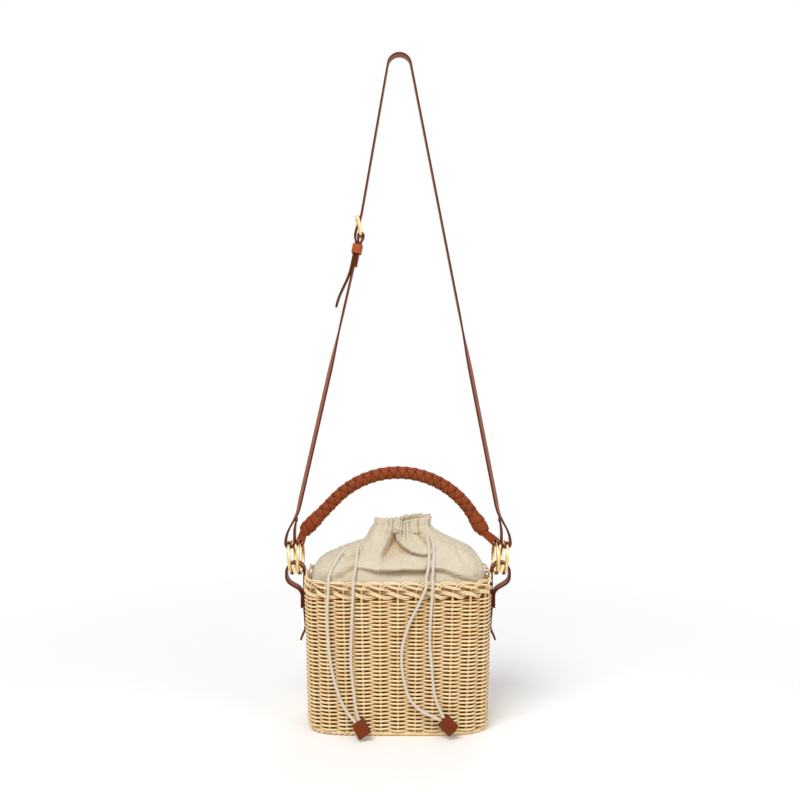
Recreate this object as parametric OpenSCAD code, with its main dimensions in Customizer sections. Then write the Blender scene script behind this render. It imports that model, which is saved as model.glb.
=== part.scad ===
/* [Basket] */
// Half the width of the woven wall at its top, side to side
basket_half_w = 98; // [86:0.5:112]
// Half the depth of the woven wall at its top, front to back
basket_half_d = 53; // [48:0.5:62]
// How much closer to the middle each side is at the foot
basket_taper = 4; // [0:0.5:8]
// Height from the table to the top of the plaited border
basket_h = 159; // [135:1:190]
// Squareness of the plan: 2 is an ellipse, more is boxier
plan_power = 4.5; // [3.5:0.1:5.5]
// Upright stakes round the wall, an even number so that the weave closes
stake_count = 28; // [26:2:36]
// Rods of weave up the wall
weave_rows = 68; // [44:2:76]
// How far a rod stands out where it passes in front of a stake
weave_relief = 1.2; // [0.6:0.1:1.6]
// How far a rod lies back between stakes and behind them
weave_dip = 1.3; // [0.8:0.1:1.8]
// Thickness of the woven wall
wall_t = 5; // [4:0.5:7]
// Height of the foot ring
foot_h = 5; // [4:0.5:8]
// Thickness of the woven base
base_t = 3; // [2:0.5:4]
// Height of the twined band under the border
wale_h = 11; // [9:0.5:14]
// Height of the plaited border
border_h = 8; // [7:0.5:10]
// How far the border stands out past the wall
border_out = 1; // [0.5:0.1:2]

/* [Pouch] */
// Thickness of the cotton
cloth_t = 1.6; // [1.2:0.1:2.4]
// Height of the gathered collar above the lining
collar_h = 70; // [56:1:80]
// How deep the collar starts below the top of the border
collar_sink = 13; // [11:1:20]
// Radial gathers round the neck
gather_count = 15; // [11:1:17]
// Width left open in the middle of the neck
mouth_w = 22; // [18:1:26]
// How far the neck sits to the right of the middle
neck_shift = 4; // [0:0.5:6]

/* [Rings and side tabs] */
// Radius of the rings, to the middle of the wire
ring_r = 16.8; // [15:0.1:19]
// Radius of the ring wire
wire_r = 2; // [1.5:0.1:2.5]
// Height of the ring centres above the border
ring_rise = 14; // [11:0.5:17]
// Turn of each ring, its front edge outwards
ring_yaw = 4; // [0:0.5:6]
// Lean of the strap rings, their tops outwards
strap_ring_lean = 6; // [0:0.5:8]
// Width of the side tabs
tab_w = 15; // [12:0.5:18]
// Thickness of the side tabs
tab_t = 2.3; // [1.8:0.1:3]
// How far the tail's tip is under the rim
tab_tail_drop = 73; // [60:1:88]

/* [Handle] */
// Radius of the arch of the grip
handle_arc_r = 94; // [88:1:100]
// Angle from the crown to the end of the arch on the left
handle_left_a = 46; // [40:1:52]
// Angle from the crown to the end of the arch on the right
handle_right_a = 57; // [50:1:60]
// Radius of the braided grip
grip_r = 6.2; // [5:0.1:7.5]
// Relief of the braid
braid_relief = 0.7; // [0.3:0.1:1]
// Length of one repeat of the braid
braid_pitch = 10; // [9:0.5:14]
// Radius of the whippings at the ends of the grip
wrap_r = 7.8; // [6.8:0.1:9]
// Length of the left whipping
wrap_left_l = 24; // [18:1:30]
// Length of the right whipping
wrap_right_l = 18; // [12:1:24]
// Width of the loops round the handle rings
handle_loop_w = 9; // [6:0.5:11]
// Thickness of the loops round the handle rings
handle_loop_t = 1.8; // [1.4:0.1:2.4]

/* [Strap] */
// Width of the strap
strap_w = 15; // [12:0.5:18]
// Thickness of the strap
strap_t = 2.2; // [1.6:0.1:2.8]
// Height of the crown of the strap above the table
strap_top = 715; // [640:1:790]
// Radius of the fold at the crown, to the middle of the leather
crown_r = 12.5; // [9:0.5:20]
// Distance from the crown down to the heel bar of the buckle
buckle_drop = 196; // [165:1:230]
// How far the buckle sits inside a straight leg
buckle_inset = 8; // [4:0.5:12]
// Radius of the buckle's wire
buckle_wire_r = 1.75; // [1.4:0.05:2]
// Distance between the heel bar and the front bar
buckle_l = 20; // [18:0.5:24]
// Width of the prong
prong_w = 2.4; // [1.8:0.1:3]
// Thickness of the prong
prong_t = 1.8; // [1.4:0.1:2]
// Length of the keeper along the strap
keeper_l = 10; // [7:0.5:12]
// Thickness of the keeper
keeper_t = 1.5; // [1.2:0.1:2]
// Radius of the punched holes
hole_r = 1.5; // [1:0.1:2]
// Distance between punched holes
hole_pitch = 14; // [11:1:18]

/* [Drawcord] */
// Diameter of the drawcord
cord_d = 3; // [2.4:0.1:3.4]
// Width of the leather squares at the cord ends
square_w = 15; // [13:0.5:17]
// Length of the leather squares
square_l = 16.5; // [14:0.5:18]
// Thickness of the leather squares, two layers and the cords
square_t = 5; // [4.4:0.1:6]

/* [Hidden] */
$fn = 48;

willow = "#c79a58";
willow_dark = "#a97c40";
leather = "#8a5228";
cotton = "#efe9da";
brass = "#c8a14e";

// Clearances
seat_gap = 0.3;
ring_gap = 0.3;
fold_gap = 0.25;
pin_gap = 0.15;

// Rows of the basket, from the table up
wall_top = basket_h - border_h - wale_h;
wale_top = basket_h - border_h;
collar_base = basket_h - collar_sink;
border_w = wall_t + border_out;

// Plan of the basket at a height, a superellipse in polar form
function half_w(z) = basket_half_w - basket_taper * (1 - min(z, wale_top) / wale_top);
function half_d(z) = basket_half_d - basket_taper * (1 - min(z, wale_top) / wale_top);
function plan_r(a, b, t) =
    pow(pow(abs(cos(t)) / a, plan_power) + pow(abs(sin(t)) / b, plan_power), -1 / plan_power);
function plan_point(t, z, off) = plan_r(half_w(z) + off, half_d(z) + off, t) * [cos(t), sin(t)];
function lift(p, z) = [p[0], p[1], z];
function ring_point(t, z, off) = lift(plan_point(t, z, off), z);

// Angles that share the perimeter out evenly, counted from the middle of the front
plan_steps = 180;
plan_run = [for (i = 0, s = 0, p = plan_point(-90, wall_top, 0);
    i <= plan_steps;
    i = i + 1,
    q = plan_point(-90 + 360 * i / plan_steps, wall_top, 0),
    s = s + norm(q - p),
    p = q) [s, -90 + 360 * i / plan_steps]];
function even_angle(i, count) = lookup(plan_run[plan_steps][0] * i / count, plan_run);

// Sweeps: a ring of upright sections, and a run of loops with both ends capped
function flat(lists) = [for (a = lists) each a];
module closed_sweep(sections) {
    n = len(sections);
    m = len(sections[0]);
    polyhedron(flat(sections), [for (i = [0:n - 1], k = [0:m - 1])
        let (j = (i + 1) % n, l = (k + 1) % m)
        each [[i * m + k, i * m + l, j * m + l], [i * m + k, j * m + l, j * m + k]]], 4);
}
module capped_sweep(sections) {
    n = len(sections);
    m = len(sections[0]);
    polyhedron(flat(sections), concat(
        [for (i = [0:n - 2], k = [0:m - 1])
            let (l = (k + 1) % m, j = i + 1)
            each [[i * m + k, j * m + l, i * m + l], [i * m + k, j * m + k, j * m + l]]],
        [[for (k = [0:m - 1]) k]],
        [[for (k = [m - 1:-1:0]) (n - 1) * m + k]]), 4);
}

// Curves in the XZ plane, and the outline of a strip along one
function bezier(p, q, r, s, n) =
    [for (i = [0:n]) let (t = i / n, u = 1 - t)
        u * u * u * p + 3 * u * u * t * q + 3 * u * t * t * r + t * t * t * s];
function arc(c, r, a, b, n) = [for (i = [0:n]) let (t = a + (b - a) * i / n) c + r * [cos(t), sin(t)]];
function rest(p) = [for (i = [1:len(p) - 1]) p[i]];
function reversed(p) = [for (i = [len(p) - 1:-1:0]) p[i]];
function mirrored(p) = [for (q = p) [-q[0], q[1]]];
function unit(v) = v / norm(v);
function heading(p, i) = unit(p[min(i + 1, len(p) - 1)] - p[max(i - 1, 0)]);
function beside(p, i, w) = let (d = heading(p, i)) p[i] + w * [-d[1], d[0]];
function strip(p, t) = concat([for (i = [0:len(p) - 1]) beside(p, i, t / 2)],
    [for (i = [len(p) - 1:-1:0]) beside(p, i, -t / 2)]);
module upright(width) rotate([90, 0, 0]) linear_extrude(width, center = true) children();

// Rings: each sways by this much at its wire as it swings, so its neighbours stay clear
function sag(w) = ring_r - sqrt(ring_r * ring_r - w * w / 4);
handle_sway = ring_r * tan(ring_yaw);
handle_hole_r = wire_r + sag(handle_loop_w) / 2 + ring_gap + handle_loop_w / 2 * sin(ring_yaw);
strap_sway = ring_r * norm([tan(ring_yaw), tan(strap_ring_lean)]);
rim_x = basket_half_w + border_out;
tab_x = rim_x + seat_gap + tab_t / 2;
handle_ring_x = tab_x + tab_t / 2 + ring_gap + handle_sway + wire_r;
strap_ring_x = handle_ring_x + handle_hole_r + handle_loop_t + ring_gap + strap_sway + wire_r;
tab_outer_x = strap_ring_x + strap_sway + wire_r + ring_gap + tab_t / 2;
ring_z = basket_h + ring_rise;
handle_ring_top = [handle_ring_x, ring_z + ring_r];
strap_ring_top = [strap_ring_x + ring_r * sin(strap_ring_lean), ring_z + ring_r * cos(strap_ring_lean)];

// Side tab: tail, strip up the wall, loop round both rings, and the end sewn to the strip
tab_loop_r = (tab_outer_x - tab_x) / 2;
tab_loop_z = ring_z - ring_r + wire_r;
tab_join_drop = 26;
tab_join_z = tab_loop_z - tab_join_drop;
tab_tail_z = basket_h - tab_tail_drop;
tab_wall_x = half_w(tab_tail_z) + weave_relief + seat_gap + tab_t / 2;
tab_curl = 5;
tab_tail_run = 16;
tab_lap = 12;
tab_turn = 13;
tab_lap_x = tab_x + tab_t + fold_gap;
tab_path = concat(
    bezier([tab_wall_x + tab_curl, tab_tail_z], [tab_wall_x + tab_curl / 2, tab_tail_z + tab_tail_run / 2],
        [tab_wall_x, tab_tail_z + tab_tail_run / 2], [tab_wall_x, tab_tail_z + tab_tail_run], 6),
    [[tab_x, tab_join_z - tab_lap]],
    arc([tab_x + tab_loop_r, tab_loop_z], tab_loop_r, 180, 0, 16),
    bezier([tab_outer_x, tab_loop_z - 2 * wire_r], [tab_outer_x, tab_loop_z - 2 * wire_r - tab_turn],
        [tab_lap_x, tab_join_z + tab_turn], [tab_lap_x, tab_join_z], 12),
    [[tab_lap_x, tab_join_z - tab_lap]]);

// Handle: an arch, a straight leg each side and an end near each ring
handle_left_in = 3.5;
handle_right_in = 12;
handle_end_rise = 10.4;
left_leg = (handle_ring_x - handle_left_in - handle_arc_r * sin(handle_left_a)) / cos(handle_left_a);
right_leg = (handle_ring_x - handle_right_in - handle_arc_r * sin(handle_right_a)) / cos(handle_right_a);
handle_top = handle_ring_top[1] + handle_end_rise + handle_arc_r * (1 - cos(handle_left_a))
    + left_leg * sin(handle_left_a);
left_run = left_leg + handle_arc_r * handle_left_a * PI / 180;
handle_run = left_run + handle_arc_r * handle_right_a * PI / 180 + right_leg;
function handle_angle(s) =
    max(-handle_left_a, min(handle_right_a, (s - left_run) / handle_arc_r * 180 / PI));
function handle_over(s) = s < left_leg ? s - left_leg : max(0, s - handle_run + right_leg);
function handle_point(s) = let (a = handle_angle(s), o = handle_over(s))
    [handle_arc_r * sin(a) + o * cos(a), handle_top - handle_arc_r * (1 - cos(a)) - o * sin(a)];
braid_sides = 10;
braid_start = wrap_left_l;
braid_end = handle_run - wrap_right_l;
braid_step = braid_pitch / 4;
function braid_section(s) = let (a = handle_angle(s), p = handle_point(s))
    [for (k = [0:braid_sides - 1])
        let (f = 360 * k / braid_sides, r = grip_r + braid_relief * cos(2 * f) * cos(360 * s / braid_pitch))
        [p[0] + r * cos(f) * sin(a), -r * sin(f), p[1] + r * cos(f) * cos(a)]];

// Strap: crown, buckle seat and the folded end round a ring
crown_x = 1.5;
crown = [crown_x, strap_top - strap_t / 2 - crown_r];
strap_loop_hole = wire_r + sag(strap_w) / 2 + ring_gap + strap_w / 2 * sin(ring_yaw);
strap_loop_r = strap_loop_hole + strap_t / 2;
strap_loop_at = strap_ring_top - [0, sag(strap_w) / 2];
leg_in = 9.3;
leg_rise = 37;
leg_foot = strap_ring_top + [-leg_in, leg_rise];
// Angle on the crown where a straight run to the point p leaves it
function crown_leave(p) = let (d = p - crown) atan2(d[1], d[0]) + acos(crown_r / norm(d));
right_leave = crown_leave(leg_foot);
leg_dir = [sin(right_leave), -cos(right_leave)];
end_turn = 15;
end_steps = 14;
end_leg = bezier(leg_foot, leg_foot + end_turn * leg_dir,
    strap_loop_at + [strap_loop_r, end_turn], strap_loop_at + [strap_loop_r, 0], end_steps);
fold_at = 4;
fold_end = beside(end_leg, fold_at, -strap_t - fold_gap);
fold_up = bezier(strap_loop_at - [strap_loop_r, 0], strap_loop_at + [-strap_loop_r, end_turn / 2],
    fold_end + end_turn / 2 * heading(end_leg, fold_at), fold_end, 8);
strap_end = concat(end_leg, rest(arc(strap_loop_at, strap_loop_r, 0, -180, 16)), rest(fold_up));

// Buckle frame of reference: the heel bar, with the strap running up its Z axis
heel_z = strap_top - buckle_drop;
leg_slope = (leg_foot[0] + crown_x - crown_r) / (crown[1] - leg_foot[1]);
heel = [crown_x - crown_r - leg_slope * (crown[1] - heel_z) + buckle_inset, heel_z];
heel_tilt = atan(leg_slope);
function at_heel(p) =
    heel + [p[0] * cos(heel_tilt) + p[1] * sin(heel_tilt), p[1] * cos(heel_tilt) - p[0] * sin(heel_tilt)];
function run_at_heel(path) = [for (p = path) at_heel(p)];
module buckle_place() translate([heel[0], 0, heel[1]]) rotate([0, heel_tilt, 0]) children();

// Layers at the keeper, counted outwards (towards -X): fold, buckle strap, then the long strap
layer_x = (strap_t + fold_gap) / 2;
tail_x = layer_x + strap_t + fold_gap;
wrap_bend_r = buckle_wire_r + pin_gap + strap_t / 2;
bow_gap = 1.2;
bow_x = wrap_bend_r + strap_t + bow_gap;
pass_x = 4;
front_bar_x = pass_x + strap_t / 2 + buckle_wire_r + fold_gap;
front_bar_z = sqrt(buckle_l * buckle_l - front_bar_x * front_bar_x);
prong_a = atan(front_bar_x / front_bar_z) + asin((buckle_wire_r + prong_t / 2 + pin_gap) / buckle_l);
prong_lift = 8;
prong_tip = 3;
keeper_top = -10;
layers_end = -34;
lap_top = -36;
tail_end = [-11, -81];
tail_bend = 18;
above_buckle = 24;
slot_z = (bow_x + pass_x) / 2 / tan(prong_a + prong_lift / 2);
slot_l = 10;
prong_slot = 2;

heel_wrap = concat([[layer_x, layers_end], [layer_x, keeper_top]],
    rest(bezier([layer_x, keeper_top], [layer_x, keeper_top / 2], [wrap_bend_r, keeper_top / 2],
        [wrap_bend_r, 0], 6)),
    rest(arc([0, 0], wrap_bend_r, 0, 180, 12)),
    rest(bezier([-wrap_bend_r, 0], [-wrap_bend_r, keeper_top / 2], [-layer_x, keeper_top / 2],
        [-layer_x, keeper_top], 6)),
    [[-layer_x, lap_top]]);
billet = concat(bezier([-pass_x, above_buckle], [-pass_x, above_buckle / 2], [-bow_x, above_buckle / 2],
        [-bow_x, 0], 10),
    rest(bezier([-bow_x, 0], [-bow_x, keeper_top / 2], [-tail_x, keeper_top / 2], [-tail_x, keeper_top], 8)),
    [[-tail_x, layers_end]],
    rest(bezier([-tail_x, layers_end], [-tail_x, layers_end - tail_bend],
        tail_end + [0, tail_bend], tail_end, 8)));
left_leave = let (p = at_heel([-pass_x, 2 * above_buckle]), d = [crown[0] - p[0], p[1] - crown[1]])
    atan2(d[1], d[0]) + acos(crown_r / norm(d));
long_path = concat(reversed(strap_end), rest(arc(crown, crown_r, right_leave, 180 - left_leave, 20)),
    run_at_heel(billet));
short_path = concat(run_at_heel(heel_wrap), mirrored(strap_end));

// Drawcord ends: points chosen along each hanging strand
left_outer_points = [[-54.8, -10.3, 185.2], [-59.9, -22.9, 181.4], [-64.9, -33.6, 175.3],
    [-68.7, -40.3, 168.8], [-71, -45.8, 161.8], [-71, -49.8, 161], [-71, -52.9, 155.5],
    [-72.1, -53.5, 126.5], [-71.1, -53.9, 100.8], [-67.7, -54.3, 70.6], [-59.4, -54.7, 41.8],
    [-52.8, -55.1, 29], [-43.4, -55.5, 17]];
left_inner_points = [[-42, -16.6, 188.7], [-42.4, -24.3, 185.9], [-42.7, -33.8, 180.3],
    [-43.6, -41.3, 172.3], [-45.4, -48.4, 161.8], [-45.4, -52.4, 161], [-45.4, -55.5, 155.5],
    [-47, -55.6, 120.1], [-48, -55.6, 90.3], [-47.4, -55.6, 70.4], [-45.3, -55.5, 50],
    [-43, -55.5, 31], [-39.6, -55.5, 19]];
right_outer_points = [[30.1, -17.1, 200.7], [31.6, -21.3, 195.4], [32.7, -28.8, 188.7],
    [32.3, -37.5, 180.4], [31.4, -42.8, 171.4], [29.1, -48.8, 161.8], [29.1, -52.8, 161],
    [29.1, -55.9, 155.5], [21, -55.9, 136.8], [10, -55.8, 113.8], [4, -55.8, 89.9],
    [5, -55.7, 65.1], [11.8, -55.6, 41.5], [24, -55.6, 28.8], [43.2, -55.5, 19.4]];
right_inner_points = [[35, -18.2, 199], [36.4, -23.1, 193.6], [37.4, -29.5, 187.8],
    [37.2, -37.9, 180], [36.3, -43.6, 170.5], [35.5, -48.7, 161.8], [35.5, -52.7, 161],
    [35.5, -55.8, 155.5], [33.5, -55.8, 127], [32.5, -55.7, 100], [34.5, -55.7, 71],
    [37.8, -55.6, 43], [46.4, -55.5, 22]];
cord_sides = 7;
cord_steps = 2;
function on_curve(p, i, t) =
    let (a = p[max(i - 1, 0)], b = p[i], c = p[i + 1], d = p[min(i + 2, len(p) - 1)])
    0.5 * (2 * b + t * (c - a) + t * t * (2 * a - 5 * b + 4 * c - d) + t * t * t * (3 * b - a - 3 * c + d));
function cord_run(p) = concat(
    [for (i = [0:len(p) - 2], k = [0:cord_steps - 1]) on_curve(p, i, k / cord_steps)], [p[len(p) - 1]]);
function cord_loop(p, i) =
    let (d = heading(p, i), n = unit(cross(d, [1, 0, 0])), b = cross(d, n))
    [for (k = [0:cord_sides - 1]) let (f = 360 * k / cord_sides)
        p[i] + cord_d / 2 * (cos(f) * n + sin(f) * b)];
module cord(points) color(cotton) let (run = cord_run(points))
    capped_sweep([for (i = [0:len(run) - 1]) cord_loop(run, i)]);
// Where each leather square starts, its turn from hanging straight and how far its tip leans out
left_square_at = [-41, -55.5, 18.2];
left_square_turn = 34;
left_square_lean = 28;
right_square_at = [45.2, -55.5, 20];
right_square_turn = 48;
right_square_lean = 14;

// Collar: shares of the plan by share of the height, slack on the right, gathers deepest at the neck
collar_cols = 60;
collar_levels = [0, 0.17, 0.3, 0.37, 0.43, 0.5, 0.57, 0.64, 0.72, 0.8, 0.9, 1];
left_share = [[0, 1], [0.17, 0.995], [0.3, 0.975], [0.37, 0.905], [0.43, 0.81], [0.5, 0.69], [0.57, 0.545],
    [0.64, 0.425], [0.72, 0.37], [0.8, 0.335], [0.9, 0.29], [1, 0.29]];
right_share = [[0, 1], [0.17, 1], [0.3, 0.99], [0.37, 0.965], [0.43, 0.93], [0.5, 0.87], [0.57, 0.765],
    [0.64, 0.635], [0.72, 0.49], [0.8, 0.37], [0.9, 0.303], [1, 0.3]];
front_share = [[0, 1], [0.17, 0.985], [0.3, 0.937], [0.37, 0.88], [0.43, 0.81], [0.5, 0.7], [0.57, 0.573],
    [0.64, 0.453], [0.72, 0.358], [0.8, 0.307], [0.9, 0.285], [1, 0.33]];
function drawn_in(t, h) = let (side = cos(t) * cos(t), side_share = cos(t) > 0 ? right_share : left_share)
    side * lookup(h, side_share) + (1 - side) * lookup(h, front_share);
gather_depth = 0.09;
collar_clear = 2.4;
function gathers(t, h) = 1 + gather_depth * h * h * (cos(gather_count * t) + 0.35 * cos(5 * t + 40));
function collar_r(t) = norm(plan_point(t, collar_base, -wall_t - collar_clear));
function collar_point(t, h, in) = let (s = max(collar_r(t) * drawn_in(t, h) * gathers(t, h) - in, 0))
    [neck_shift * h * h + s * cos(t), s * sin(t), collar_base + collar_h * h];
// The cloth thickens to the bunched neck, which leaves only the mouth open
function cloth_in(h, t) = let (bunch = max(0, 2 * h - 1), r = collar_r(t) * drawn_in(t, h))
    cloth_t + bunch * max(0, r - cloth_t - mouth_w / 2 - gather_depth * r);

wall_cols = 2 * stake_count;
function foot_plan(off) = [for (i = [0:wall_cols - 1]) plan_point(even_angle(i, wall_cols), 0, off)];
module foot_wale() color(willow_dark) linear_extrude(foot_h) difference() {
    polygon(foot_plan(0));
    polygon(foot_plan(-2 * wall_t));
}

module basket_base() color(willow) translate([0, 0, foot_h - base_t]) linear_extrude(base_t)
    polygon(foot_plan(-2 * wall_t - pin_gap));

// Each row passes outside every second stake and inside the rest, row by row in turn
module basket_wall() {
    step = (wall_top - foot_h) / weave_rows;
    function weave(i, k) = i % 2 == 0 && (k + i / 2) % 2 == 0 ? weave_relief : -weave_dip;
    color(willow) closed_sweep([for (i = [0:wall_cols - 1]) let (t = even_angle(i, wall_cols))
        concat([ring_point(t, foot_h, -weave_dip)],
            [for (k = [0:weave_rows - 1]) ring_point(t, foot_h + (k + 0.5) * step, weave(i, k))],
            [ring_point(t, wall_top, -weave_dip), ring_point(t, wall_top, -wall_t),
                ring_point(t, foot_h, -wall_t)])]);
}

// Two rows of slanting strands with a groove between them
module rim_wale() {
    row = wale_h / 4;
    function slant(i, k) =
        weave_relief / 2 * (k % 2 == 0 ? -1 : 1 - 2 * ((i + (k - 1) / 2) % 2));
    color(willow_dark) closed_sweep([for (i = [0:wall_cols - 1]) let (t = even_angle(i, wall_cols))
        concat([for (k = [0:4]) ring_point(t, wall_top + k * row, slant(i, k))],
            [ring_point(t, wale_top, -wall_t), ring_point(t, wall_top, -wall_t)])]);
}

// One scallop per stake: each strand climbs from behind, crosses the top and drops outside
module plaited_rim() {
    cols = 3 * stake_count;
    dip = 2.4;
    bulge = 0.8;
    function scallop(i) = [0, 0.35, 1][i % 3];
    color(willow) closed_sweep([for (i = [0:cols - 1])
        let (t = even_angle(i, cols), s = scallop(i), top = basket_h - dip * s, out = border_out - bulge * s)
        [ring_point(t, wale_top, 0), ring_point(t, wale_top + border_h / 3, out),
            ring_point(t, top - border_h / 4, out - bulge), ring_point(t, top, out - border_w / 3),
            ring_point(t, top, out - 2 * border_w / 3),
            ring_point(t, top - border_h / 4, bulge * s - wall_t),
            ring_point(t, wale_top + border_h / 3, bulge * s - wall_t), ring_point(t, wale_top, -wall_t)]]);
}

module lining() {
    cols = stake_count;
    function loop(z, off) = [for (i = [0:cols - 1]) ring_point(even_angle(i, cols), z, off)];
    outer = -wall_t - collar_clear;
    inner = outer - cloth_t;
    color(cotton) capped_sweep([loop(foot_h, outer), loop(collar_base, outer),
        loop(collar_base, inner), loop(foot_h + cloth_t, inner)]);
}

module pouch_collar() color(cotton) closed_sweep([for (i = [0:collar_cols - 1])
    let (t = 360 * i / collar_cols)
    concat([for (h = collar_levels) collar_point(t, h, 0)],
        [for (h = reversed(collar_levels)) collar_point(t, h, cloth_in(h, t))])]);

module cord_left_outer() cord(left_outer_points);
module cord_left_inner() cord(left_inner_points);
module cord_right_outer() cord(right_outer_points);
module cord_right_inner() cord(right_inner_points);

// A folded square of leather that hangs from its top edge
module cord_square(at, turn, lean) color(leather) translate(at) rotate([0, -turn, 0]) rotate([-lean, 0, 0])
    translate([-square_w / 2, -square_t / 2, -square_l]) cube([square_w, square_t, square_l]);
module cord_tab_left() cord_square(left_square_at, left_square_turn, left_square_lean);
module cord_tab_right() cord_square(right_square_at, right_square_turn, right_square_lean);

module side_tab() color(leather) upright(tab_w) polygon(strip(tab_path, tab_t));
module side_tab_right() side_tab();
module side_tab_left() mirror([1, 0, 0]) side_tab();

module handle_braid() color(leather) let (n = ceil((braid_end - braid_start) / braid_step))
    capped_sweep([for (i = [0:n]) braid_section(braid_start + (braid_end - braid_start) * i / n)]);

// A whipping of four smooth turns, from its end face at the bottom
module whipping(l) color(leather) {
    turns = 4;
    turn = l / turns;
    cylinder(r = wrap_r - turn / 4, h = l);
    for (i = [0:turns - 1]) translate([0, 0, (i + 0.5) * turn])
        rotate_extrude() translate([wrap_r - turn / 2, 0]) circle(r = turn / 2);
}
// Places children at a point of the grip with +Z along it, towards the left or the right end
module on_handle(s) let (p = handle_point(s))
    translate([p[0], 0, p[1]]) rotate([0, 90 + handle_angle(s), 0]) children();
module handle_wrap_left() on_handle(0) whipping(wrap_left_l);
module handle_wrap_right() on_handle(handle_run - wrap_right_l) whipping(wrap_right_l);

// Outline round two circles, as a belt runs round two pulleys
function belt(p, rp, q, rq) = let (d = q - p, a = atan2(d[1], d[0]), b = acos((rp - rq) / norm(d)))
    concat(arc(p, rp, a + b, a + 360 - b, 16), arc(q, rq, a - b, a + b, 16));
module handle_loop(side, s) color(leather) difference() {
    end = handle_point(s);
    wire = [side * handle_ring_top[0], handle_ring_top[1] - sag(handle_loop_w) / 2];
    upright(handle_loop_w) polygon(belt(end, wrap_r / 2, wire, handle_hole_r + handle_loop_t));
    translate([wire[0], 0, wire[1]]) rotate([90, 0, 0])
        cylinder(r = handle_hole_r, h = 2 * handle_loop_w, center = true);
    on_handle(s) translate([-2 * wrap_r, -2 * wrap_r, side < 0 ? 0 : -2 * wrap_r]) cube(
        [4 * wrap_r, 4 * wrap_r, 2 * wrap_r]);
}
module handle_loop_left() handle_loop(-1, 0);
module handle_loop_right() handle_loop(1, handle_run);

// A ring on its side of the bag, turned and leaned outwards
module o_ring(side, x, lean) color(brass) translate([side * x, 0, ring_z])
    rotate([0, side * lean, side * ring_yaw]) rotate([0, 90, 0])
    rotate_extrude($fn = 96) translate([ring_r, 0]) circle(r = wire_r);
module handle_ring_left() o_ring(-1, handle_ring_x, 0);
module handle_ring_right() o_ring(1, handle_ring_x, 0);
module strap_ring_left() o_ring(-1, strap_ring_x, strap_ring_lean);
module strap_ring_right() o_ring(1, strap_ring_x, strap_ring_lean);

// Oblong hole through the strap for the prong, and the row of round holes above and below it
module strap_long() color(leather) difference() {
    upright(strap_w) polygon(strip(long_path, strap_t));
    buckle_place() {
        translate([-3 * pass_x, -prong_w / 2 - seat_gap, slot_z - slot_l / 2])
            cube([2 * pass_x + bow_x, prong_w + 2 * seat_gap, slot_l]);
        for (i = [2:4]) translate([-pass_x, 0, slot_z + i * hole_pitch]) rotate([0, 90, 0])
            cylinder(r = hole_r, h = 4 * strap_t, center = true);
    }
}

// The heel fold is slotted in the middle so that the prong can turn on the bar
module strap_short() color(leather) difference() {
    upright(strap_w) polygon(strip(short_path, strap_t));
    buckle_place() translate([-2 * wrap_bend_r, -prong_w / 2 - prong_slot / 2, keeper_top / 2])
        cube([4 * wrap_bend_r, prong_w + prong_slot, 2 * wrap_bend_r - keeper_top / 2]);
}

module buckle_frame() {
    half = strap_w / 2 + seat_gap + buckle_wire_r;
    module bar(x, z) translate([x, 0, z]) rotate([90, 0, 0])
        cylinder(r = buckle_wire_r, h = 2 * half, center = true);
    color(brass) buckle_place() {
        bar(0, 0);
        bar(-front_bar_x, front_bar_z);
        for (y = [-half, half]) translate([0, y, 0]) {
            rotate([0, -atan(front_bar_x / front_bar_z), 0]) cylinder(r = buckle_wire_r, h = buckle_l);
            sphere(r = buckle_wire_r);
            translate([-front_bar_x, 0, front_bar_z]) sphere(r = buckle_wire_r);
        }
    }
}

// The prong's eye turns on the heel bar and its tip rests on the front bar
module buckle_prong() color(brass) buckle_place() rotate([0, -prong_a, 0]) {
    eye_r = buckle_wire_r + pin_gap + prong_t / 2;
    difference() {
        union() {
            rotate([90, 0, 0]) cylinder(r = eye_r, h = prong_w, center = true);
            translate([-prong_t / 2, -prong_w / 2, 0]) cube([prong_t, prong_w, buckle_l + prong_tip]);
        }
        rotate([90, 0, 0]) cylinder(r = buckle_wire_r + pin_gap, h = 2 * prong_w, center = true);
    }
}

module strap_keeper() color(leather) buckle_place() {
    inner_x = -tail_x - strap_t / 2 - seat_gap;
    inner_w = tail_x + layer_x + strap_t + 2 * seat_gap;
    inner_d = strap_w + 2 * seat_gap;
    translate([inner_x - keeper_t, -inner_d / 2 - keeper_t, keeper_top - keeper_l]) difference() {
        cube([inner_w + 2 * keeper_t, inner_d + 2 * keeper_t, keeper_l]);
        translate([keeper_t, keeper_t, -keeper_l]) cube([inner_w, inner_d, 3 * keeper_l]);
    }
}

foot_wale();
basket_base();
basket_wall();
rim_wale();
plaited_rim();
lining();
pouch_collar();
cord_left_outer();
cord_left_inner();
cord_right_outer();
cord_right_inner();
cord_tab_left();
cord_tab_right();
side_tab_left();
side_tab_right();
handle_braid();
handle_wrap_left();
handle_wrap_right();
handle_loop_left();
handle_loop_right();
handle_ring_left();
handle_ring_right();
strap_ring_left();
strap_ring_right();
strap_long();
strap_short();
buckle_frame();
buckle_prong();
strap_keeper();
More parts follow.
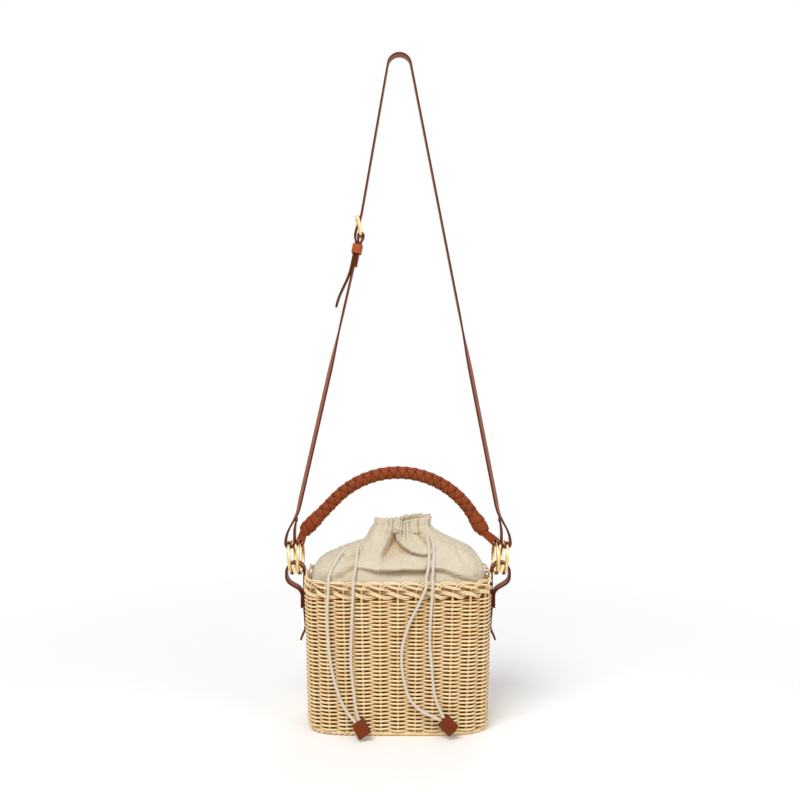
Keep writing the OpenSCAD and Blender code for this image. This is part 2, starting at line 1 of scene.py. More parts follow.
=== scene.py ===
import math
import bpy
import numpy as np
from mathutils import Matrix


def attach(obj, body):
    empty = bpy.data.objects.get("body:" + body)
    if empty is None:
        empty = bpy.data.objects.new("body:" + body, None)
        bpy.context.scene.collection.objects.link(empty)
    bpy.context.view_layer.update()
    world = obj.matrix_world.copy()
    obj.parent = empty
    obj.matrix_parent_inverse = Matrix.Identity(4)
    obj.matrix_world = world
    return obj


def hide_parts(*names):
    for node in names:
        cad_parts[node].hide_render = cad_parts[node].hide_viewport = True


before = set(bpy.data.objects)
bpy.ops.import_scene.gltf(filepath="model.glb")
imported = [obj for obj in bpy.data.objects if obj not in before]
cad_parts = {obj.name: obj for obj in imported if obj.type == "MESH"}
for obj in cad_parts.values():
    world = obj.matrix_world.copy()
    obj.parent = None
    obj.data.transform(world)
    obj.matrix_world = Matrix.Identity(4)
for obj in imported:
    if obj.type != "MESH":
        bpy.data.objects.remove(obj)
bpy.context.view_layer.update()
print("frame loaded")

basket = {"halfWide": 0.098, "halfDeep": 0.053, "taper": 0.004, "power": 4.5, "stakes": 28,
          "footTop": 0.005, "wallTop": 0.140, "waleTop": 0.151}

# camera at the height and distance that the rim and the foot of the basket give
view = {"place": (0.00215, -1.013, 0.396), "lens": 42.35, "shiftY": -0.0625}
camData = bpy.data.cameras.new("photoCamera")
camera = bpy.data.objects.new("photoCamera", camData)
bpy.context.collection.objects.link(camera)
camera.location = view["place"]
camera.rotation_euler = (math.pi / 2, 0, 0)
camData.sensor_width = 36
camData.lens = view["lens"]
camData.shift_y = view["shiftY"]
bpy.context.scene.camera = camera


# mesh makers
def unit(v):
    return v / np.maximum(np.linalg.norm(v, axis=-1, keepdims=True), 1e-12)


def dot(a, b):
    return (a * b).sum(-1, keepdims=True)


def smooth(a, b, x):  # 0 before a, 1 after b, eased between
    t = np.clip((x - a) / (b - a), 0, 1)
    return t * t * (3 - 2 * t)


def turnBy(axis, angle):  # matrix that turns about x, y or z
    i, j = {"x": (1, 2), "y": (2, 0), "z": (0, 1)}[axis]
    made = np.eye(3)
    made[i, i] = made[j, j] = math.cos(angle)
    made[i, j], made[j, i] = -math.sin(angle), math.sin(angle)
    return made


def fillMesh(name, points, quads, ends, corners, tone, fine):
    loops = np.concatenate([quads.ravel()] + [e.ravel() for e in ends])
    sizes = np.concatenate([np.full(len(quads), 4)] + [np.full(len(e), e.shape[1]) for e in ends])
    mesh = bpy.data.meshes.new(name)
    mesh.vertices.add(len(points))
    mesh.vertices.foreach_set("co", points.ravel())
    mesh.loops.add(len(loops))
    mesh.loops.foreach_set("vertex_index", loops.astype(np.int32))
    mesh.polygons.add(len(sizes))
    mesh.polygons.foreach_set("loop_start", np.concatenate([[0], np.cumsum(sizes)[:-1]]).astype(np.int32))
    mesh.polygons.foreach_set("use_smooth", np.ones(len(sizes), bool))
    mesh.update(calc_edges=True)
    uv = np.zeros((len(loops), 2))
    uv[:corners.size // 2] = corners.reshape(-1, 2)
    mesh.uv_layers.new(name="UVMap").uv.foreach_set("vector", uv.ravel())
    for key, value in {"tone": tone, "fine": fine}.items():
        if value is not None:
            data = np.broadcast_to(value, (len(points),)).astype(np.float32)
            mesh.attributes.new(key, "FLOAT", "POINT").data.foreach_set("value", np.ascontiguousarray(data))
    mesh.validate()
    piece = bpy.data.objects.new(name, mesh)
    bpy.context.collection.objects.link(piece)
    return piece


# a lattice of points, strands x run x around, skinned with quads; ends are closed with one face each
# UV: U is the length along the run in metres, V the share of the way around
def lattice(name, grid, loopRun=False, loopAround=True, caps=True, tone=None, fine=None, flip=None):
    grid = grid[None] if grid.ndim == 3 else grid
    s, n, m, _ = grid.shape
    index = np.arange(s * n * m).reshape(s, n, m)
    r0 = np.arange(n if loopRun else n - 1)
    a0 = np.arange(m if loopAround else m - 1)
    r1, a1 = (r0 + 1) % n, (a0 + 1) % m
    pick = lambda r, a: index[:, r][:, :, a]
    quads = np.stack([pick(r0, a0), pick(r0, a1), pick(r1, a1), pick(r1, a0)], -1).reshape(-1, 4)
    middle = grid.mean(2)
    run = np.linalg.norm(np.roll(middle, -1, 1) - middle, axis=-1).cumsum(1)
    run = np.concatenate([np.zeros((s, 1)), run], 1)
    u0, u1 = [np.broadcast_to(run[:, k, None], (s, len(r0), len(a0))) for k in (r0, r0 + 1)]
    v0, v1 = [np.broadcast_to(k / (m if loopAround else m - 1), u0.shape) for k in (a0, a0 + 1)]
    corners = np.stack([np.stack(c, -1) for c in ((u0, v0), (u0, v1), (u1, v1), (u1, v0))], -2).reshape(-1, 4, 2)
    points = grid.reshape(-1, 3)
    if flip is None:  # a closed shell encloses a positive volume when its faces point outwards
        a, b, c, d = [points[quads[:, k]] - points.mean(0) for k in range(4)]
        flip = (dot(a, np.cross(b, c)) + dot(a, np.cross(c, d))).sum() < 0
    if flip:
        quads, corners = quads[:, ::-1], corners[:, ::-1]
    ends = []
    if loopAround and caps and not loopRun:
        ends = [index[:, 0, ::-1], index[:, -1]]
        ends = [e[:, ::-1] for e in ends] if not flip else ends
        ends = [np.ascontiguousarray(e) for e in ends]
    spread = lambda v: None if v is None else np.broadcast_to(v, (s, n, m)).ravel()
    return fillMesh(name, points, np.ascontiguousarray(quads), ends, corners, spread(tone), spread(fine))


# a section carried along paths: the wide axis leans on a given direction, the thin one is square to it
# power 2 is an ellipse, more is a rectangle with rounder corners
def sweep(path, across, halfWide, halfThick, sides=8, loop=False, power=2.0):
    path = np.asarray(path, float)
    if loop:
        t = unit(np.roll(path, -1, -2) - np.roll(path, 1, -2))
    else:
        t = unit(np.gradient(path, axis=-2))
    across = np.broadcast_to(np.asarray(across, float), path.shape)
    a = unit(across - dot(across, t) * t)
    b = np.cross(t, a)
    f = 2 * np.pi * (np.arange(sides) + 0.5) / sides
    c = np.sign(np.cos(f)) * np.abs(np.cos(f)) ** (2 / power)
    d = np.sign(np.sin(f)) * np.abs(np.sin(f)) ** (2 / power)
    wide = np.broadcast_to(halfWide, path.shape[:-1])[..., None] * c
    thick = np.broadcast_to(halfThick, path.shape[:-1])[..., None] * d
    return path[..., None, :] + wide[..., None] * a[..., None, :] + thick[..., None] * b[..., None, :]


# plan of the basket: a superellipse in polar form that narrows to the foot
def planPoint(t, z, off):
    narrow = basket["taper"] * (1 - np.minimum(z, basket["waleTop"]) / basket["waleTop"])
    a, b = basket["halfWide"] - narrow + off, basket["halfDeep"] - narrow + off
    p = basket["power"]
    r = ((np.abs(np.cos(t)) / a) ** p + (np.abs(np.sin(t)) / b) ** p) ** (-1 / p)
    return np.stack(np.broadcast_arrays(r * np.cos(t), r * np.sin(t), z), -1)


planTurn = np.linspace(-np.pi / 2, 1.5 * np.pi, 1441)
planEdge = planPoint(planTurn, basket["wallTop"], 0.0)
planRun = np.concatenate([[0], np.linalg.norm(np.diff(planEdge, axis=0), axis=1).cumsum()])


def stakeAngle(u):  # angle of a place counted in stakes from the middle of the front, evenly round the edge
    laps = np.floor(u / basket["stakes"])
    share = u / basket["stakes"] - laps
    return np.interp(share * planRun[-1], planRun, planTurn) + 2 * np.pi * laps


# shader maths: a wrapped socket with the usual operators
class Wire:
    def __init__(self, tree, socket=None):
        self.tree, self.socket = tree, socket

    def plug(self, target, value):
        if isinstance(value, Wire):
            self.tree.links.new(value.socket, target)
        else:
            target.default_value = value

    def node(self, kind, settings=None, inputs=None, out=0):
        made = self.tree.nodes.new("ShaderNode" + kind)
        for key, value in (settings or {}).items():
            setattr(made, key, value)
        for key, value in (inputs or {}).items():
            self.plug(made.inputs[key], value)
        return Wire(self.tree, made.outputs[out])

    def maths(self, operation, other, swap=False):
        first, second = (other, self) if swap else (self, other)
        return self.node("Math", {"operation": operation}, {0: first, 1: second})

    def __add__(self, other):
        return self.maths("ADD", other)

    def __radd__(self, other):
        return self.maths("ADD", other)

    def __sub__(self, other):
        return self.maths("SUBTRACT", other)

    def __rsub__(self, other):
        return self.maths("SUBTRACT", other, True)

    def __mul__(self, other):
        return self.maths("MULTIPLY", other)

    def sine(self):
        return self.maths("SINE", 0.0)

    def band(self, low, high):  # 0 below low, 1 above high
        return self.node("MapRange", {"interpolation_type": "SMOOTHSTEP"}, {0: self, 1: low, 2: high})

    def mix(self, a, b):  # colours a to b by this factor
        return self.node("Mix", {"data_type": "RGBA"}, {0: self, 6: a, 7: b}, 2)

    def output(self, key):  # another output of the same node
        return Wire(self.tree, self.socket.node.outputs[key])


def startMaterial(name, fixed):
    material = bpy.data.materials.new(name)
    material.use_nodes = True
    tree = material.node_tree
    shader = tree.nodes["Principled BSDF"]
    for key, value in fixed.items():
        shader.inputs[key].default_value = value
    return material, Wire(tree), shader


def feed(wire, shader, values):
    for key, value in values.items():
        wire.plug(shader.inputs[key], value)


def scaled(wire, vector, x, y, z):
    return wire.node("Mapping", {}, {"Vector": vector, "Scale": (x, y, z)})


def noise(wire, vector, scale, detail=3.0, rough=0.5):
    return wire.node("TexNoise", {}, {"Vector": vector, "Scale": scale, "Detail": detail, "Roughness": rough})


def bump(wire, height, distance, strength, under=None):
    inputs = {"Strength": strength, "Distance": distance, "Height": height}
    return wire.node("Bump", {}, dict(inputs, Normal=under) if under else inputs)


# the dark willow colour serves for the darker nodes and also as painted shade on rods that lie back in shadow
willowLook = {"pale": (0.92, 0.72, 0.41, 1), "honey": (0.84, 0.56, 0.26, 1), "nodesAndShade": (0.40, 0.18, 0.052, 1),
              "rough": 0.42, "coat": 0.12}


# peeled willow: long streaks along each strand, strands of different tone, a few darker nodes,
# and painted shade, browner, where a strand runs behind
def willowMaterial(name, look):
    material, wire, shader = startMaterial(name, {"Coat Roughness": 0.35})
    uv = wire.node("TexCoord", out="UV")
    tone = wire.node("Attribute", {"attribute_name": "tone"}, out="Fac")
    fine = noise(wire, scaled(wire, uv, 55, 5, 1), 6.0, 4.0, 0.6)
    long = noise(wire, scaled(wire, uv, 14, 1.2, 1), 3.0, 2.0)
    knots = noise(wire, scaled(wire, uv, 45, 0.4, 1), 1.3, 1.0).band(0.66, 0.74)
    share = tone * 0.62 + long * 0.45 + (fine - 0.5) * 0.35 - 0.18
    colour = share.band(0.05, 0.85).mix(look["pale"], look["honey"])
    shadeBehind = wire.node("Attribute", {"attribute_name": "fine"}, out="Fac")
    colour = (knots * 0.4).mix(colour, look["nodesAndShade"])
    # painted shade: rods that lie back, behind a stake or in the border core, go browner
    colour = (shadeBehind * 0.75).mix(colour, look["nodesAndShade"])
    feed(wire, shader, {"Base Color": colour, "Roughness": fine * 0.25 + (look["rough"] - 0.1),
                        "Coat Weight": (1 - knots) * look["coat"],
                        "Normal": bump(wire, fine + knots * 0.4, 0.00025, 0.7)})
    return material


# the deep colour is painted shade: the tanner cloth laid into folds and hollows
cottonLook = {"light": (0.68, 0.605, 0.465, 1), "shade": (0.58, 0.50, 0.365, 1), "deep": (0.64, 0.50, 0.32, 1),
              "thread": 0.0007}


# plain cotton: two crossing sets of threads from the cloth's own U and V in metres, slubs and soft creases
# with painted light and shade along them, and painted shade, tanner, in the folds and hollows
def cottonMaterial(name, look, metres):
    material, wire, shader = startMaterial(name, {"Sheen Weight": 0.12, "Sheen Roughness": 0.5})
    uv = wire.node("TexCoord", out="UV")
    parts = wire.node("SeparateXYZ", {}, {0: uv})
    warp = parts * (2 * math.pi / look["thread"])
    weft = parts.output("Y") * (2 * math.pi * metres / look["thread"])
    weave = warp.sine() * weft.sine() * 0.5 + 0.5
    where = wire.node("TexCoord", out="Object")
    slub = noise(wire, scaled(wire, uv, 260, 30 * metres, 1), 3.0, 2.0)
    crease = noise(wire, where, 42.0, 4.0, 0.55)
    colour = (crease * 0.7 + slub * 0.45 + weave * 0.12 - 0.2).band(0.1, 0.75).mix(look["shade"], look["light"])
    # painted shade: the 'fine' attribute says how far the cloth lies back, in a fold, a pleat valley or inside the
    # hem
    hollowShade = wire.node("Attribute", {"attribute_name": "fine"}, out="Fac")
    soft = bump(wire, crease, 0.0028, 0.55)
    feed(wire, shader, {"Base Color": hollowShade.mix(colour, look["deep"]), "Roughness": slub * 0.1 + 0.84,
                        "Normal": bump(wire, weave * 0.6 + slub * 0.4, 0.0003, 0.5, soft)})
    return material


# twisted cord: the strands wind round as V turns while U runs on
def cordMaterial(name, look):
    material, wire, shader = startMaterial(name, {"Sheen Weight": 0.1})
    uv = wire.node("TexCoord", out="UV")
    parts = wire.node("SeparateXYZ", {}, {0: uv})
    around = parts.output("Y")
    twist = (parts * (2 * math.pi * look["turns"]) + around * (2 * math.pi * 3)).sine() * 0.5 + 0.5
    fibre = noise(wire, scaled(wire, uv, 700, 14, 1), 2.5, 3.0)
    colour = (twist * 0.6 + fibre * 0.5 - 0.1).band(0.0, 0.8).mix(look["shade"], look["light"])
    feed(wire, shader, {"Base Color": colour, "Roughness": fibre * 0.15 + 0.78,
                        "Normal": bump(wire, twist + fibre * 0.3, 0.0002, 0.5)})
    return material


leatherLook = {"face": (0.255, 0.050, 0.0095, 1), "deep": (0.215, 0.041, 0.0075, 1),
               "worn": (0.30, 0.070, 0.016, 1), "edge": (0.06, 0.014, 0.004, 1), "rough": 0.46}


# smooth tan leather: pebbled grain, clouded dye, paler wear on the highest parts and darker painted edges; on the
# braided grip the same dark colour is also painted shade in the gaps between thongs
def leatherMaterial(name, look):
    material, wire, shader = startMaterial(name, {"Coat Roughness": 0.4, "Specular IOR Level": 0.14})
    where = wire.node("TexCoord", out="Object")
    edge = wire.node("Attribute", {"attribute_name": "fine"}, out="Fac")
    cells = wire.node("TexVoronoi", {"feature": "SMOOTH_F1"}, {"Vector": where, "Scale": 1500.0})
    pores = noise(wire, where, 2600.0, 2.0)
    cloud = noise(wire, where, 95.0, 4.0, 0.6)
    wear = noise(wire, where, 320.0, 3.0, 0.65).band(0.58, 0.78)
    colour = cloud.band(0.3, 0.72).mix(look["deep"], look["face"])
    colour = (wear * 0.3).mix(colour, look["worn"])
    colour = (edge.band(0.5, 1.0) * 0.8).mix(colour, look["edge"])
    feed(wire, shader, {"Base Color": colour, "Coat Weight": (1 - wear) * 0.04,
                        "Roughness": cloud * 0.2 + (look["rough"] - 0.08) + edge * 0.15,
                        "Normal": bump(wire, cells * 0.6 + pores * 0.3 + cloud * 0.5, 0.00015, 0.4)})
    return material


brassLook = {"gold": (0.86, 0.62, 0.25, 1), "pale": (0.93, 0.74, 0.40, 1), "rough": 0.13}


# polished brass: faint clouding and fine rubbing marks
def brassMaterial(name, look):
    material, wire, shader = startMaterial(name, {"Metallic": 1.0})
    where = wire.node("TexCoord", out="Object")
    cloud = noise(wire, where, 160.0, 3.0)
    rub = noise(wire, scaled(wire, where, 300, 2400, 900), 1.0, 2.0)
    feed(wire, shader, {"Base Color": cloud.band(0.3, 0.7).mix(look["gold"], look["pale"]),
                        "Roughness": cloud * 0.1 + rub * 0.06 + (look["rough"] - 0.06),
                        "Normal": bump(wire, rub, 0.00004, 0.4)})
    return material


willow = willowMaterial("peeledWillow", willowLook)
rimLook = dict(willowLook, pale=(0.95, 0.75, 0.45, 1), honey=(0.88, 0.62, 0.31, 1))
# painted shade: the lining's outer face is dark brown so that the gaps in the weave look shadowed
liningShadeLook = dict(cottonLook, light=(0.31, 0.115, 0.029, 1), shade=(0.21, 0.075, 0.017, 1))
cordLook = {"light": (0.66, 0.60, 0.50, 1), "shade": (0.59, 0.53, 0.43, 1), "turns": 170}
threadLook = {"light": (0.17, 0.045, 0.012, 1), "shade": (0.12, 0.03, 0.008, 1), "turns": 900}
keeperLook = dict(leatherLook, face=(0.40, 0.085, 0.020, 1), deep=(0.32, 0.063, 0.014, 1))
squareLook = dict(leatherLook, face=(0.175, 0.027, 0.0035, 1), deep=(0.155, 0.023, 0.003, 1))
clothRound = 0.6  # metres of cloth that V covers once round
willowRim = willowMaterial("borderWillow", rimLook)
cotton = cottonMaterial("plainCotton", cottonLook, clothRound)
liningPaintedShade = cottonMaterial("liningPaintedShade", liningShadeLook, clothRound)
cordCotton = cordMaterial("twistedCord", cordLook)
leather = leatherMaterial("tanLeather", leatherLook)
brightLeather = leatherMaterial("keeperLeather", keeperLook)
squareLeather = leatherMaterial("squareLeather", squareLook)
thread = cordMaterial("waxedThread", threadLook)
brass = brassMaterial("polishedBrass", brassLook)
print("materials made")


def place(piece, body, slot, finish, *nodes):
    piece.data.materials.append(finish)
    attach(piece, body)
    if nodes:
        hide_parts(*nodes)
    return piece


# drawcord ends, on the same points as the solids
cords = {
    "left_outer": [(-54.8, -10.3, 185.2), (-59.9, -22.9, 181.4), (-64.9, -33.6, 175.3), (-68.7, -40.3, 168.8),
                   (-71, -45.8, 161.8), (-71, -49.8, 161), (-71, -52.9, 155.5), (-72.1, -53.5, 126.5),
                   (-71.1, -53.9, 100.8), (-67.7, -54.3, 70.6), (-59.4, -54.7, 41.8), (-52.8, -55.1, 29),
                   (-43.4, -55.5, 17)],
    "left_inner": [(-42, -16.6, 188.7), (-42.4, -24.3, 185.9), (-42.7, -33.8, 180.3), (-43.6, -41.3, 172.3),
                   (-45.4, -48.4, 161.8), (-45.4, -52.4, 161), (-45.4, -55.5, 155.5), (-47, -55.6, 120.1),
                   (-48, -55.6, 90.3), (-47.4, -55.6, 70.4), (-45.3, -55.5, 50), (-43, -55.5, 31),
                   (-39.6, -55.5, 19)],
    "right_outer": [(30.1, -17.1, 200.7), (31.6, -21.3, 195.4), (32.7, -28.8, 188.7), (32.3, -37.5, 180.4),
                    (31.4, -42.8, 171.4), (29.1, -48.8, 161.8), (29.1, -52.8, 161), (29.1, -55.9, 155.5),
                    (21, -55.9, 136.8), (10, -55.8, 113.8), (4, -55.8, 89.9), (5, -55.7, 65.1),
                    (11.8, -55.6, 41.5), (24, -55.6, 28.8), (43.2, -55.5, 19.4)],
    "right_inner": [(35, -18.2, 199), (36.4, -23.1, 193.6), (37.4, -29.5, 187.8), (37.2, -37.9, 180),
                    (36.3, -43.6, 170.5), (35.5, -48.7, 161.8), (35.5, -52.7, 161), (35.5, -55.8, 155.5),
                    (33.5, -55.8, 127), (32.5, -55.7, 100), (34.5, -55.7, 71), (37.8, -55.6, 43),
                    (46.4, -55.5, 22)]}
cordSize = {"across": 0.003, "perSpan": 3, "sides": 12}
squares = {"left": {"top": (-0.041, -0.0555, 0.0182), "turn": 34, "lean": 28},
           "right": {"top": (0.0452, -0.0555, 0.020), "turn": 48, "lean": 14}}
squareSize = {"wide": 0.015, "long": 0.0165, "thick": 0.005, "rounding": 0.0016, "pinch": 0.0012,
              "rows": 30, "sides": 64, "stitches": 5}


def throughPoints(points, steps):  # a Catmull-Rom curve through all the points
    p = np.asarray(points, float)
    a, b, c, d = [p[np.clip(np.arange(len(p) - 1) + k, 0, len(p) - 1)][:, None] for k in (-1, 0, 1, 2)]
    t = (np.arange(steps) / steps)[None, :, None]
    curve = 0.5 * (2 * b + t * (c - a) + t * t * (2 * a - 5 * b + 4 * c - d) + t ** 3 * (3 * b - a - 3 * c + d))
    return np.concatenate([curve.reshape(-1, 3), p[-1:]])


# stitches: short capsules, given as centres and directions
def stitchPiece(name, centres, directions, long=0.0026, thick=0.0004):
    s = np.array([-0.5, -0.42, 0.42, 0.5]) * long
    path = centres[:, None] + s[None, :, None] * unit(directions)[:, None]
    width = np.broadcast_to(np.array([0.35, 1, 1, 0.35]) * thick, path.shape[:2])
    return lattice(name, sweep(path, (0.31, 0.54, 0.78), width, width, 6), tone=0.5)


# folded square of leather: a rounded slab with a pressed line at its sides and stitches on both faces
def leatherSquare(side):
    spec = squares[side]
    w, l, t = squareSize["wide"] / 2, squareSize["long"], squareSize["thick"] / 2
    v = np.linspace(0, 1, squareSize["rows"])
    edge = np.minimum(v, 1 - v) * l
    shrink = np.sqrt(np.clip(1 - (1 - np.clip(edge / squareSize["rounding"], 0, 1)) ** 2, 0.02, 1))
    f = 2 * np.pi * np.arange(squareSize["sides"]) / squareSize["sides"]
    c = np.sign(np.cos(f)) * np.abs(np.cos(f)) ** 0.28
    d = np.sign(np.sin(f)) * np.abs(np.sin(f)) ** 0.5
    groove = 1 - 0.05 * np.exp(-(np.abs(np.abs(c) - 0.98) / 0.02) ** 2)
    swell = 0.82 + 0.18 * np.exp(-((v - 0.25) / 0.25) ** 2)
    x = (w - squareSize["pinch"] * (1 - shrink))[:, None] * c * groove
    y = (t * swell * shrink)[:, None] * d
    z = np.broadcast_to((-l * v)[:, None], x.shape)
    turn = turnBy("y", -math.radians(spec["turn"])) @ turnBy("x", -math.radians(spec["lean"]))
    put = lambda q: q @ turn.T + np.array(spec["top"])
    edges = np.broadcast_to(smooth(0.93, 1.0, np.abs(c)), x.shape)
    square = place(lattice(f"leather_square_{side}", put(np.stack([x, y, z], -1)), fine=edges),
                   "basket", "leather", squareLeather, f"cord_tab_{side}")
    k = np.linspace(-0.8, 0.8, squareSize["stitches"])
    rows = [np.stack([k * w, 0 * k + s * t * 0.86, 0 * k - l * 0.16], -1) for s in (-1, 1)]
    posts = [np.stack([0 * k + g * w * 0.8, 0 * k + s * t * 0.8, -l * (0.53 + 0.4 * k)], -1)
             for s in (-1, 1) for g in (-1, 1)]
    ways = np.repeat([(1.0, 0.0, 0.0)] * len(rows) + [(0.0, 0.0, 1.0)] * len(posts), len(k), axis=0)
    sewn = stitchPiece(f"square_stitches_{side}", put(np.concatenate(rows + posts)), ways @ turn.T)
    return square, place(sewn, "basket", "leather", thread)


squarePieces = {side: leatherSquare(side) for side in squares}
for name, points in cords.items():
    path = throughPoints(np.array(points) / 1000, cordSize["perSpan"])
    cordR = cordSize["across"] / 2
    tube = lattice("drawcord_" + name, sweep(path, (1, 0.03, 0.02), cordR, cordR, cordSize["sides"]))
    place(tube, "basket", "cotton_cord", cordCotton, "cord_" + name)
print("cords made")


# basket: rods woven in front of one stake and behind the next, row by row in turn
weave = {"rows": 68, "perStake": 7, "sides": 6, "swing": 0.0024, "middle": -0.0018, "halfTall": 0.00092,
         "halfThick": 0.00082, "stakeR": 0.00125, "stakeZ": (0.003, 0.1515), "seed": 11}
chance = np.random.default_rng(weave["seed"])


# rods of willow as one piece on the basket, standing in for the nodes named
def rods(name, grid, finish, *nodes, loop=True, tone=None, fine=None):
    place(lattice(name, grid, loop, tone=tone, fine=fine), "basket", "willow", finish, *nodes)


def column(values):
    return np.array(values)[:, None]


def ripple(rows, u, size):  # smooth closed unevenness along each row
    k = np.array([2, 5, 9, 14])[None, :, None]
    phase = chance.uniform(0, 2 * np.pi, (rows, 4, 1))
    return size * (np.sin(2 * np.pi * k * u[None, None, :] / basket["stakes"] + phase) / k ** 0.5).sum(1)


def wallRods():
    rows = weave["rows"]
    u = np.arange(basket["stakes"] * weave["perStake"]) / weave["perStake"]
    row = np.arange(rows)[:, None]
    pitch = (basket["wallTop"] - basket["footTop"]) / rows
    wave = np.cos(np.pi * (u[None] + row))
    z = basket["footTop"] + (row + 0.5) * pitch + ripple(rows, u, 0.00009)
    off = weave["middle"] + weave["swing"] * wave + ripple(rows, u, 0.00008)
    path = planPoint(stakeAngle(u)[None], z, off)
    tall = weave["halfTall"] * (1 + 0.17 * wave + ripple(rows, u, 0.035))
    # painted shade on the stretch of each rod that runs behind a stake
    shadeBehind = smooth(0.1, -0.8, wave)
    grid = sweep(path, (0, 0, 1), tall, weave["halfThick"], weave["sides"], True)
    tone = chance.uniform(0.1, 0.9, (rows, 1)) + ripple(rows, u, 0.16)
    half = rows // 2
    for name, part in (("lower_rods", slice(0, half)), ("upper_rods", slice(half, rows))):
        rods(name, grid[part], willow, "basket_wall", tone=tone[part][..., None], fine=shadeBehind[part][..., None])


def stakeRods():
    u = np.arange(basket["stakes"])[:, None]
    z = np.linspace(*weave["stakeZ"], 16)[None]
    path = planPoint(stakeAngle(u + 0 * z), z, weave["middle"] + 0 * u)
    side = np.stack([-np.sin(stakeAngle(u)), np.cos(stakeAngle(u)), 0 * u], -1)
    tone = chance.uniform(0.2, 0.9, (basket["stakes"], 1, 1))
    rods("upright_stakes", sweep(path, side, weave["stakeR"], weave["stakeR"], 8), willow, loop=False, tone=tone)


wallRods()
stakeRods()
print("wall woven")

wale = {"rows": (0.1452,), "bundles": 2, "strands": 3, "swing": 0.0026, "slant": 0.0025, "spread": 0.00135,
        "halfTall": 0.00056, "halfThick": 0.00075}


# waling: two flat bundles of rods twine round the stakes, slanting down across one and climbing behind the next
def waleRods():
    u = np.arange(basket["stakes"] * 8) / 8
    zc, j, k = np.meshgrid(wale["rows"], np.arange(wale["bundles"]), np.arange(wale["strands"]) - 1, indexing="ij")
    zc, j, k = [v.reshape(-1, 1) for v in (zc, j, k)]
    turn = 2 * np.pi * (u[None] + j) / wale["bundles"]
    z = zc - wale["slant"] * np.sin(turn) + k * wale["spread"] + ripple(len(j), u, 0.00009)
    off = weave["middle"] + 0.0002 + wale["swing"] * np.cos(turn)
    path = planPoint(stakeAngle(u)[None], z, off)
    grid = sweep(path, (0, 0, 1), wale["halfTall"], wale["halfThick"], 6, True)
    tone = chance.uniform(0.0, 0.75, (len(j), 1)) + ripple(len(j), u, 0.14)
    # painted shade where the waling runs behind a stake, at under half strength
    shadeBehind = smooth(0.1, -0.8, np.cos(turn))
    rods("waling_rods", grid, willowRim, "rim_wale", tone=tone[..., None], fine=0.45 * shadeBehind[..., None])


border = {"strands": 2, "step": 0.0015, "radius": 0.00064, "shift": 0.10, "start": 0.06,
          "run": (0, 0.08, 0.16, 0.27, 0.45, 0.70, 0.95, 1.05, 1.35, 1.65, 1.95, 2.35),
          "high": (152.4, 155.6, 157.4, 158.5, 158.75, 158.6, 157.6, 157.0, 155.5, 154.2, 153.0, 151.8),
          "turns": (0, 0.12, 0.3, 0.6, 0.95, 1.15, 1.45, 1.8, 2.1, 2.35),
          "off": (-0.4, 0.7, 0.5, -0.4, -1.5, -1.5, 0.2, 1.0, 0.2, -2.2)}
borderCore = {"high": (0.1476, 0.1496, 0.1516, 0.1536), "off": (-0.0048, -0.0048, -0.0046, -0.0044), "radius": 0.0011}


# border: each stake turns over as a pair of rods that climbs steeply, passes behind the next pair
# and drops slowly outside to the right; a core of four rods fills the space inside
def borderRods():
    i, j = np.meshgrid(np.arange(basket["stakes"]), np.arange(border["strands"]), indexing="ij")
    i, j = i.reshape(-1, 1), j.reshape(-1, 1)
    s = np.linspace(0, border["run"][-1], 56)[None]
    wobble = chance.normal(0, 1, (len(i), 3))
    soft = np.exp(-np.linspace(-1.8, 1.8, 9) ** 2)

    def eased(places, values):  # a table in mm with its corners rounded off
        table = np.pad(np.interp(s[0], places, values), 4, mode="reflect", reflect_type="odd")
        return np.convolve(table, soft / soft.sum(), "valid")[None] / 1000

    u = i + border["start"] + border["shift"] * j + s + 0.03 * wobble[:, :1]
    z = eased(border["run"], border["high"]) - border["step"] * j + 0.00015 * wobble[:, 1:2]
    off = eased(border["turns"], border["off"])
    path = planPoint(stakeAngle(u), z, off)
    thin = border["radius"] * (1 - 0.35 * smooth(0.8, 1, s / border["run"][-1])) * (1 + 0.06 * wobble[:, 2:3])
    tone = chance.uniform(0.0, 0.7, (len(i), 1, 1))
    rods("border_rods", sweep(path, (0, 0, 1), thin, thin, 7), willowRim, "plaited_rim", loop=False, tone=tone)
    u = np.arange(basket["stakes"] * 8) / 8
    n = np.arange(4)[:, None]
    turn = 2 * np.pi * (u[None] + n * 1.5) / 4
    z = column(borderCore["high"]) + 0.0004 * np.sin(turn)
    off = column(borderCore["off"]) + 0.0003 * np.cos(turn)
    path = planPoint(stakeAngle(u)[None], z, off)
    tone = chance.uniform(0.6, 1.0, (4, 1, 1))
    grid = sweep(path, (0, 0, 1), borderCore["radius"], borderCore["radius"], 6, True)
    # painted shade: the core rods show only in the hollows of the border and are coloured fully dark
    rods("border_core", grid, willowRim, tone=tone, fine=1.0)


foot = {"strands": 3, "radius": 0.00118, "wind": 0.00122, "z": 0.0025, "lines": (-0.0026, -0.0073)}


# foot: two ropes of three rods each, wound round each other
def footRods():
    u = np.arange(basket["stakes"] * 10) / 10
    line, j = np.meshgrid(foot["lines"], np.arange(foot["strands"]), indexing="ij")
    line, j = line.reshape(-1, 1), j.reshape(-1, 1)
    turn = 2 * np.pi * (u[None] + j / foot["strands"]) * np.where(line == foot["lines"][1], -1, 1)
    path = planPoint(stakeAngle(u)[None], foot["z"] + foot["wind"] * np.sin(turn), line + foot["wind"] * np.cos(turn))
    tone = chance.uniform(0.2, 0.9, (len(j), 1, 1))
    rods("foot_rods", sweep(path, (0, 0, 1), foot["radius"], foot["radius"], 7, True), willow, "foot_wale", tone=tone)


base = {"rings": 29, "first": 0.05, "last": 0.985, "swing": 0.0007, "middle": 0.0035, "halfTall": 0.00075,
        "halfWide": 0.00118, "off": -0.0112, "spokeOff": -0.0105, "spokeThick": (0.0006, 0.0010)}


